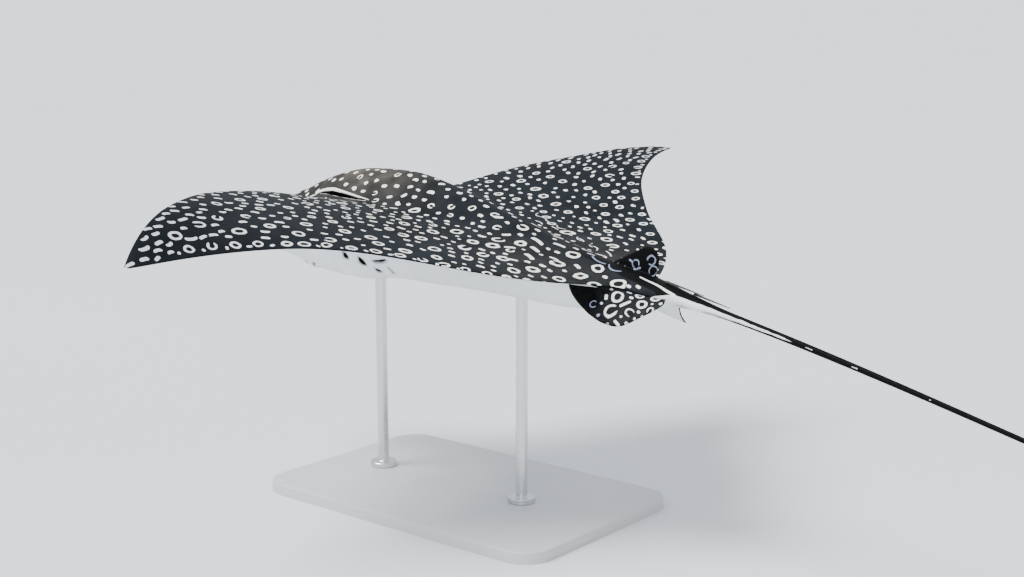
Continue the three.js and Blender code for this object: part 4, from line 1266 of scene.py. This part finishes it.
def eye_material(look):
    """Blown glass eye: a clear wet cornea over a dark brown iris with a slotted pupil."""
    material, tree, shader = new_material("glass_eye", Roughness=0.12, IOR=1.45, Coat_Weight=1.0,
                                          Coat_Roughness=0.02)
    place = add(tree, ATTRIBUTE, out="Vector", attribute_name="eye_frame")
    x, y, z = add(tree, SPLIT, {0: place}).node.outputs
    round_it = add(tree, VECTOR, {0: add(tree, JOIN, {0: x, 1: y})}, out="Value", operation="LENGTH")
    rays = add(tree, NOISE, {"Vector": add(tree, VECTOR, {0: place, 1: (26.0, 26.0, 2.0)},
                                           operation="MULTIPLY"), "Scale": 1.0, "Detail": 4.0})
    iris = add(tree, MIX, {0: rays, 6: look.iris_dark, 7: look.iris_light}, **RGBA)
    rim = add(tree, MAP, {"Value": round_it, 1: 0.56, 2: 0.66}, **SMOOTH)
    iris = add(tree, MIX, {0: rim, 6: iris, 7: colour("#0b0a0a")}, **RGBA)
    slot = add(tree, JOIN, {0: add(tree, MATH, {0: x, 1: 0.62}, operation="MULTIPLY"),
                            1: add(tree, MATH, {0: y, 1: 1.25}, operation="MULTIPLY")})
    slot = add(tree, VECTOR, {0: slot}, out="Value", operation="LENGTH")
    pupil = add(tree, MAP, {"Value": slot, 1: 0.25, 2: 0.29}, **SMOOTH)
    iris = add(tree, MIX, {0: pupil, 6: colour("#030303"), 7: iris}, **RGBA)
    connect(tree, shader, Base_Color=iris)
    return material


def spine_material(look):
    """Dentine: dull brown-black barbed bone with fine grooves along it."""
    material, tree, shader = new_material("dentine_spine", Roughness=0.5)
    place = add(tree, PLACE, out="Object")
    stretched = add(tree, MAPPING, {0: place, 3: (900.0, 60.0, 900.0)})
    grain = add(tree, NOISE, {"Vector": stretched, "Scale": 1.0, "Detail": 3.0})
    tone = add(tree, MIX, {0: grain, 6: look.spine_dark, 7: look.spine_light}, **RGBA)
    bump = add(tree, BUMP, {"Strength": 0.5, "Distance": 0.0003, "Height": grain})
    connect(tree, shader, Base_Color=tone, Normal=bump)
    return material


def board_material(look):
    """Satin lacquer sprayed on board: even, with the faint orange peel of sprayed paint."""
    material, tree, shader = new_material("satin_lacquered_board", Roughness=0.42, IOR=1.5)
    place = add(tree, PLACE, out="Object")
    cloud = add(tree, NOISE, {"Vector": place, "Scale": 7.0, "Detail": 3.0})
    tone = add(tree, MIX, {0: cloud, 6: look.board, 7: look.board_shade}, **RGBA)
    peel = add(tree, NOISE, {"Vector": place, "Scale": 420.0, "Detail": 1.0})
    rough = add(tree, MAP, {"Value": cloud, 1: 0.3, 2: 0.7, 3: 0.36, 4: 0.48})
    bump = add(tree, BUMP, {"Strength": 0.08, "Distance": 0.0003, "Height": peel})
    connect(tree, shader, Base_Color=tone, Roughness=rough, Normal=bump)
    return material


def steel_material(look):
    """Brushed stainless steel rod: fine lines round the rod that spread its highlights."""
    material, tree, shader = new_material("brushed_stainless_steel", Metallic=1.0, Roughness=0.3)
    place = add(tree, PLACE, out="Object")
    stretched = add(tree, MAPPING, {0: place, 3: (60.0, 60.0, 2600.0)})
    lines = add(tree, NOISE, {"Vector": stretched, "Scale": 1.0, "Detail": 2.0})
    tone = add(tree, MIX, {0: lines, 6: look.steel, 7: colour("#e3e4e5")}, **RGBA)
    rough = add(tree, MAP, {"Value": lines, 1: 0.3, 2: 0.7, 3: 0.22, 4: 0.38})
    connect(tree, shader, Base_Color=tone, Roughness=rough)
    return material


def floor_material(look):
    """Matt studio floor paint, almost even."""
    material, tree, shader = new_material("matt_floor_paint", Roughness=0.85)
    place = add(tree, PLACE, out="Object")
    cloud = add(tree, NOISE, {"Vector": place, "Scale": 0.6, "Detail": 2.0})
    tone = add(tree, MIX, {0: cloud, 6: look.floor, 7: look.floor_shade}, **RGBA)
    connect(tree, shader, Base_Color=tone)
    return material


# ---- Placing ------------------------------------------------------------------------------

def ray_pose():
    """From the ray's own frame in millimetres to the stand's frame in metres."""
    tilt = Matrix.Rotation(math.radians(-ROLL), 4, "Y") @ Matrix.Rotation(math.radians(-PITCH), 4, "X")
    return Matrix.Scale(MM, 4) @ Matrix.Translation((0, 0, HEIGHT)) @ tilt


def settle(piece, name, material, nodes):
    """Names a finished piece, gives it its material and ties it to the frame."""
    piece.name = piece.data.name = name
    piece.data.materials.clear()
    piece.data.materials.append(material)
    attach(piece, "root")
    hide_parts(*nodes)


def build_skin(scene):
    """The ray's flesh as one closed skin, carved, marked and laid out."""
    look, group = scene.eagle_ray_look, scene.eagle_ray_sizes
    sizes = {"spiracle": group.spiracle_half / MM, "eye_opening": group.eye_opening / MM,
             "ring": (group.ring_smallest / MM, group.ring_largest / MM),
             "ring_gap": group.ring_gap / MM}
    patches = Patches()
    for lay_patches in (body_patches, wing_patches, pelvic_patches, dorsal_patches, tail_patches):
        lay_patches(patches)
    mesh = bpy.data.meshes.new("ray_skin")
    mesh.from_pydata(np.concatenate(patches.points).tolist(), [], patches.faces)
    store_map(mesh, "LaidFlat", np.concatenate(patches.flats) * MM)
    store(mesh, "coat", "CORNER", np.concatenate(patches.coats))
    layer = mesh.attributes.new("region", "INT", "FACE")
    layer.data.foreach_set("value", np.array(patches.regions, np.int32))
    welded = bmesh.new()
    welded.from_mesh(mesh)
    bmesh.ops.remove_doubles(welded, verts=welded.verts, dist=0.004)
    bmesh.ops.recalc_face_normals(welded, faces=welded.faces)
    open_edges = sum(not edge.is_manifold for edge in welded.edges)
    welded.to_mesh(mesh)
    welded.free()
    if open_edges:
        print("open edges", open_edges)
    skin = bpy.data.objects.new("ray_skin", mesh)
    scene.collection.objects.link(skin)
    refine(skin)
    sculpt(mesh, sizes)
    mark_skin(mesh, sizes)
    unwrap(mesh)
    mesh.transform(ray_pose())
    mesh.shade_smooth()
    flesh = [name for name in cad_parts
             if name in ("snout", "head", "trunk", "dorsal_fin") or name.startswith("tail_")
             or name.endswith(("_wing", "_pelvic_fin"))]
    settle(skin, "ray_skin", ray_skin_material(look), flesh)


def build_eyes(scene):
    """Eyeballs with a raised cornea, set in their sockets."""
    material = eye_material(scene.eagle_ray_look)
    for side, name in ((1, "left"), (-1, "right")):
        start_afresh()
        bpy.ops.mesh.primitive_uv_sphere_add(segments=48, ring_count=32, radius=EYE_RADIUS)
        ball = bpy.context.object
        mesh = ball.data
        for vertex in mesh.vertices:
            vertex.select = vertex.co.z > 0.93 * EYE_RADIUS
        bpy.ops.object.mode_set(mode="EDIT")
        bpy.ops.mesh.select_mode(type="VERT")
        bpy.ops.transform.translate(value=(0, 0, 0.7), use_proportional_edit=True,
                                    proportional_edit_falloff="SMOOTH", proportional_size=6.0)
        bpy.ops.object.mode_set(mode="OBJECT")
        store(mesh, "eye_frame", "POINT", read(mesh.vertices, "co", 3) / EYE_RADIUS)
        axis, forward, up = (Vector(direction) for direction in eye_axes(side))
        turn = Matrix((forward, up, axis)).transposed().to_4x4()
        mesh.transform(ray_pose() @ Matrix.Translation(Vector(eye_centre(side))) @ turn)
        if turn.determinant() < 0:
            mesh.flip_normals()
        mesh.shade_smooth()
        settle(ball, f"eyeball_{name}", material, [f"{name}_eye"])


# Each spine's node, base and tip as places, sideways shift as a share of the disc, and width in mm
SPINES = [("spine_1", 0.668, 0.720, 0.0014, 9.0), ("spine_2", 0.706, 0.754, -0.0012, 8.0)]
SPINE_THICK, SPINE_TEETH, SPINE_STEPS = 4.0, 9, 6      # mm, barbs, and rings for each barb
# A spine's ring, as shares of its half width and its thickness: a groove runs along the top
SPINE_RING = [(-1, 0.25), (-0.55, 0.62), (-0.16, 0.92), (0, 0.78), (0.16, 0.92), (0.55, 0.62),
              (1, 0.25), (0.5, 0.05), (-0.5, 0.05)]


def build_spines(scene):
    """Barbed blades lying along the tail's root."""
    material = spine_material(scene.eagle_ray_look)
    for node, base, tip, shift, width in SPINES:
        line_x, line_z = (float(v) for v in tail_line(base))
        floor = float(body_top(base)) * DISC + line_z + 0.6
        rise = math.tan(math.radians(float(curve(TAIL_RISE)(base - TAIL_START)) - 0.6))
        length = (tip - base) * DISC
        steps, corners = SPINE_TEETH * SPINE_STEPS, len(SPINE_RING)
        points = []
        for i in range(steps + 1):
            t = i / steps
            barb = 0.72 + 0.28 * (i % SPINE_STEPS) / (SPINE_STEPS - 1) if i < steps else 0.5
            half = width / 2 * barb * (1 - t ** 2.2) + 0.4
            thick = SPINE_THICK * (1 - 0.6 * t)
            x, y, z = line_x + shift * DISC, base * DISC + t * length, floor + t * length * rise
            y -= CENTRE * DISC
            points += [(x + across * half, y, z + up * thick) for across, up in SPINE_RING]
        index = np.arange(len(points)).reshape(-1, corners)
        beside = np.roll(index, -1, axis=1)
        faces = np.stack([index[:-1], beside[:-1], beside[1:], index[1:]], -1).reshape(-1, 4)
        mesh = bpy.data.meshes.new(node)
        mesh.from_pydata(points, [], faces.tolist() + [index[0].tolist(), index[-1].tolist()])
        blade = bmesh.new()
        blade.from_mesh(mesh)
        bmesh.ops.recalc_face_normals(blade, faces=blade.faces)
        blade.to_mesh(mesh)
        blade.free()
        mesh.transform(ray_pose())
        piece = bpy.data.objects.new(node, mesh)
        scene.collection.objects.link(piece)
        start_afresh()
        piece.select_set(True)
        bpy.context.view_layer.objects.active = piece
        bpy.ops.object.shade_smooth_by_angle(angle=math.radians(40))
        settle(piece, f"barbed_{node}", material, [node])


BOARD_CORNER = 0.055          # metres, radius of the board's corners seen from above
COLLAR, COLLAR_HEIGHT, ROD = 0.026, 0.010, 0.011     # metres: radius of a rod's collar, its height,
ROUND_FOOT, ROUND_TOP = 0.0008, 0.0012               # radius of the rod, and roundings of the collar


def build_board(scene):
    """A flat board with round corners and a softened top edge."""
    low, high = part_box("stand_base")
    start_afresh()
    bpy.ops.mesh.primitive_cube_add(size=1, location=(low + high) / 2, scale=high - low)
    bpy.ops.object.transform_apply(location=True, rotation=True, scale=True)
    board = bpy.context.object
    for edge in board.data.edges:
        a, b = (board.data.vertices[i].co for i in edge.vertices)
        edge.select = abs(a.z - b.z) > 0.001
    bevel_selected(board, BOARD_CORNER, 16)
    for edge in board.data.edges:
        a, b = (board.data.vertices[i].co for i in edge.vertices)
        edge.select = min(a.z, b.z) > high.z - 1e-5
    bevel_selected(board, scene.eagle_ray_sizes.board_edge, 4)
    bpy.ops.object.shade_smooth_by_angle(angle=math.radians(30))
    settle(board, "display_board", board_material(scene.eagle_ray_look), ["stand_base"])


def bevel_selected(piece, offset, segments):
    """Rounds the edges selected in object mode, and only those."""
    chosen = [edge.select for edge in piece.data.edges]
    piece.data.vertices.foreach_set("select", [False] * len(piece.data.vertices))
    piece.data.polygons.foreach_set("select", [False] * len(piece.data.polygons))
    bpy.ops.object.mode_set(mode="EDIT")
    bpy.ops.mesh.select_mode(type="EDGE")
    bpy.ops.mesh.select_all(action="DESELECT")
    bpy.ops.object.mode_set(mode="OBJECT")
    piece.data.edges.foreach_set("select", chosen)
    bpy.ops.object.mode_set(mode="EDIT")
    bpy.ops.mesh.bevel(offset=offset, segments=segments, affect="EDGES")
    bpy.ops.object.mode_set(mode="OBJECT")


def build_rods(scene):
    """Each rod is one turned profile: a collar with rounded edges, then the rod."""
    material = steel_material(scene.eagle_ray_look)
    for node in ("stand_rod_front", "stand_rod_rear"):
        low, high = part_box(node)
        middle = (low + high) / 2
        start_afresh()
        bpy.ops.mesh.primitive_circle_add(vertices=64, radius=COLLAR - ROUND_FOOT, fill_type="NGON",
                                          location=(middle.x, middle.y, low.z))
        piece = bpy.context.object
        bpy.ops.object.transform_apply(location=True, rotation=True, scale=True)
        bpy.ops.object.mode_set(mode="EDIT")
        bpy.ops.mesh.select_all(action="SELECT")
        profile = [(COLLAR, ROUND_FOOT), (COLLAR, COLLAR_HEIGHT - ROUND_TOP),
                   (COLLAR - ROUND_TOP, COLLAR_HEIGHT), (ROD + ROUND_TOP, COLLAR_HEIGHT),
                   (ROD, COLLAR_HEIGHT + ROUND_TOP), (ROD, high.z - low.z)]
        radius, level = COLLAR - ROUND_FOOT, 0.0
        for new_radius, new_level in profile:
            bpy.ops.mesh.extrude_region_move(
                TRANSFORM_OT_translate={"value": (0, 0, new_level - level)})
            share = new_radius / radius
            bpy.ops.transform.resize(value=(share, share, 1),
                                     center_override=(middle.x, middle.y, low.z + new_level))
            radius, level = new_radius, new_level
        bpy.ops.mesh.select_all(action="SELECT")
        bpy.ops.mesh.normals_make_consistent(inside=False)
        bpy.ops.object.mode_set(mode="OBJECT")
        bpy.ops.object.shade_smooth_by_angle(angle=math.radians(35))
        settle(piece, node.replace("stand_rod", "turned_rod"), material, [node])


# Camera: degrees round and above the ray, then mm from it and mm it is moved across and up, and lens
CAMERA = {"azimuth": 129.5, "elevation": 10.8, "distance": 2910.0, "across": 92.0, "above": -86.5,
          "lens": 54.41}
FLOOR_SIZE = 3000.0           # metres, so that its far edge is the horizon
KEY_FROM, KEY_SPREAD = (0.47, -0.30, 1.0), 28.0    # direction the key light comes from, degrees
FILL_AT, FILL_SIZE = (4.6, 3.4, 2.2), 3.0          # metres


def build_stage(scene):
    """Floor, soft air, a broad key light, a softbox beside the camera, and the camera."""
    look = scene.eagle_ray_look
    aim = Vector((0, 0.1, HEIGHT * MM))
    start_afresh()
    bpy.ops.mesh.primitive_plane_add(size=FLOOR_SIZE)
    floor = bpy.context.object
    floor.name = "studio_floor"
    floor.data.materials.append(floor_material(look))
    world = bpy.data.worlds.new("studio_air")
    world.use_nodes = True
    air = world.node_tree.nodes["Background"]
    air.inputs["Color"].default_value = look.air
    air.inputs["Strength"].default_value = look.air_strength
    scene.world = world
    sun = bpy.data.lights.new("key_light", "SUN")
    sun.energy, sun.angle = look.key_strength, math.radians(KEY_SPREAD)
    lamp = bpy.data.objects.new("key_light", sun)
    lamp.rotation_euler = Vector(KEY_FROM).to_track_quat("Z", "Y").to_euler()
    scene.collection.objects.link(lamp)
    fill = bpy.data.lights.new("fill_softbox", "AREA")
    fill.size, fill.energy = FILL_SIZE, look.fill_power
    lamp = bpy.data.objects.new("fill_softbox", fill)
    lamp.location = FILL_AT
    lamp.rotation_euler = (Vector(FILL_AT) - aim).to_track_quat("Z", "Y").to_euler()
    scene.collection.objects.link(lamp)
    a, e = math.radians(CAMERA["azimuth"]), math.radians(CAMERA["elevation"])
    back = Vector((math.sin(a) * math.cos(e), -math.cos(a) * math.cos(e), math.sin(e)))
    right = Vector((math.cos(a), math.sin(a), 0))
    up = back.cross(right)
    place = right * CAMERA["across"] + up * CAMERA["above"] + back * CAMERA["distance"]
    camera = bpy.data.objects.new("studio_camera", bpy.data.cameras.new("studio_camera"))
    camera.data.lens, camera.data.sensor_width = CAMERA["lens"], 36.0
    camera.matrix_world = (Matrix.Translation((place + Vector((0, 0, HEIGHT))) * MM)
                           @ Matrix((right, up, back)).transposed().to_4x4())
    scene.collection.objects.link(camera)
    scene.camera = camera


# ---- The add-on ---------------------------------------------------------------------------

def length_property(name, description, default):
    """A size in metres."""
    return bpy.props.FloatProperty(name=name, description=description, default=default, min=0,
                                   unit="LENGTH", precision=4)


def colour_property(name, description, hex_value):
    """A colour from its sRGB hex value."""
    return bpy.props.FloatVectorProperty(name=name, description=description, size=4, min=0, max=1,
                                         subtype="COLOR", default=colour(hex_value))


class EagleRaySizes(bpy.types.PropertyGroup):
    """Sizes of the ray's details and of the stand."""
    spiracle_half: length_property("Spiracle", "Half width of the breathing slits", 0.005)
    eye_opening: length_property("Eye opening", "Radius of the opening between the lids", 0.009)
    ring_smallest: length_property("Smallest ring", "Radius of the smallest rings on the wings", 0.0085)
    ring_largest: length_property("Largest ring", "Radius of the largest rings on the wings", 0.0105)
    ring_gap: length_property("Ring spacing", "Clear skin between the wings' rings", 0.033)
    board_edge: length_property("Board edge", "Rounding of the board's top edge", 0.003)


class EagleRayLook(bpy.types.PropertyGroup):
    """Colours, sheen and light."""
    back: colour_property("Back", "Charcoal of the back and wings", "#10161b")
    brown: colour_property("Brown", "Brown of the head's dome", "#4c4741")
    # also used for the painted shade on the back's strip before the tail and the wing's painted shadow
    # on the pelvic fins
    black: colour_property("Black", "Black of the tail, fins and wing tips", "#050608")
    mark: colour_property("Marks", "White rings and dots", "#faf8f3")
    blue_mark: colour_property("Dark fin marks", "Marks on the black skin", "#7d889f")
    # also the painted highlight along the tail's side
    belly: colour_property("Belly", "White underside", "#edf1f2")
    belly_shade: colour_property("Belly shade", "Clouding of the underside", "#cfd8dc")
    # also the colour of the painted shade under the rear body and tail and round the hollows of the
    # underside
    dusk_and_painted_shade: colour_property("Wing tips beneath", "Grey under the wing tips", "#4d5960")
    inner: colour_property("Inner skin", "Inside of the mouth and spiracles", "#a9a3a3")
    roughness: bpy.props.FloatProperty(name="Skin roughness", description="Sheen of the wet skin",
                                       default=0.6, min=0, max=1)
    iris_dark: colour_property("Iris", "Dark of the iris", "#1c130c")
    iris_light: colour_property("Iris rays", "Light rays in the iris", "#6b5434")
    spine_dark: colour_property("Spine", "Dark of the spines", "#15130f")
    spine_light: colour_property("Spine ridges", "Worn ridges of the spines", "#2e281f")
    board: colour_property("Board", "Lacquer of the board", "#c4c5c6")
    board_shade: colour_property("Board shade", "Clouding of the lacquer", "#bbbcbe")
    steel: colour_property("Steel", "Stainless steel", "#bfc2c6")
    floor: colour_property("Floor", "Studio floor paint", "#dfe1e3")
    floor_shade: colour_property("Floor shade", "Clouding of the floor", "#d8dadd")
    air: colour_property("Air", "Soft light from all sides", "#eef3f8")
    air_strength: bpy.props.FloatProperty(name="Air strength", description="Strength of the soft light",
                                          default=1.2, min=0)
    key_strength: bpy.props.FloatProperty(name="Key light", description="Strength of the key light",
                                          default=4.4, min=0)
    fill_power: bpy.props.FloatProperty(name="Fill light", description="Softbox beside the camera",
                                        default=85, min=0, unit="POWER")


class EAGLERAY_OT_skin(bpy.types.Operator):
    """Builds the ray's one skin, from snout to tail tip, with its marks."""
    bl_idname = "eagle_ray.skin"
    bl_label = "Skin"

    def execute(self, context):
        build_skin(context.scene)
        return {"FINISHED"}


class EAGLERAY_OT_eyes(bpy.types.Operator):
    """Builds both glass eyes."""
    bl_idname = "eagle_ray.eyes"
    bl_label = "Eyes"

    def execute(self, context):
        build_eyes(context.scene)
        return {"FINISHED"}


class EAGLERAY_OT_spines(bpy.types.Operator):
    """Builds the barbed spines on the tail's root."""
    bl_idname = "eagle_ray.spines"
    bl_label = "Spines"

    def execute(self, context):
        build_spines(context.scene)
        return {"FINISHED"}


class EAGLERAY_OT_board(bpy.types.Operator):
    """Builds the stand's board."""
    bl_idname = "eagle_ray.board"
    bl_label = "Stand board"

    def execute(self, context):
        build_board(context.scene)
        return {"FINISHED"}


class EAGLERAY_OT_rods(bpy.types.Operator):
    """Builds the stand's two steel rods."""
    bl_idname = "eagle_ray.rods"
    bl_label = "Stand rods"

    def execute(self, context):
        build_rods(context.scene)
        return {"FINISHED"}


class EAGLERAY_OT_stage(bpy.types.Operator):
    """Sets up the floor, the air, the key light, the softbox and the camera."""
    bl_idname = "eagle_ray.stage"
    bl_label = "Stage"

    def execute(self, context):
        build_stage(context.scene)
        return {"FINISHED"}


OPERATORS = [EAGLERAY_OT_stage, EAGLERAY_OT_skin, EAGLERAY_OT_eyes, EAGLERAY_OT_spines,
             EAGLERAY_OT_board, EAGLERAY_OT_rods]


class EAGLERAY_PT_panel(bpy.types.Panel):
    """Lists the pieces and their settings."""
    bl_label = "Spotted eagle ray"
    bl_idname = "EAGLERAY_PT_panel"
    bl_space_type = "VIEW_3D"
    bl_region_type = "UI"
    bl_category = "Eagle ray"

    def draw(self, context):
        for operator in OPERATORS:
            self.layout.operator(operator.bl_idname)
        for group in (context.scene.eagle_ray_sizes, context.scene.eagle_ray_look):
            box = self.layout.box()
            for name in group.__annotations__:
                box.prop(group, name)


CLASSES = [EagleRaySizes, EagleRayLook, *OPERATORS, EAGLERAY_PT_panel]


def register():
    for item in CLASSES:
        bpy.utils.register_class(item)
    bpy.types.Scene.eagle_ray_sizes = bpy.props.PointerProperty(type=EagleRaySizes)
    bpy.types.Scene.eagle_ray_look = bpy.props.PointerProperty(type=EagleRayLook)


def unregister():
    del bpy.types.Scene.eagle_ray_look
    del bpy.types.Scene.eagle_ray_sizes
    for item in reversed(CLASSES):
        bpy.utils.unregister_class(item)


def main():
    register()
    for piece in ("stage", "skin", "eyes", "spines", "board", "rods"):
        getattr(bpy.ops.eagle_ray, piece)()


if __name__ == "__main__":
    main()
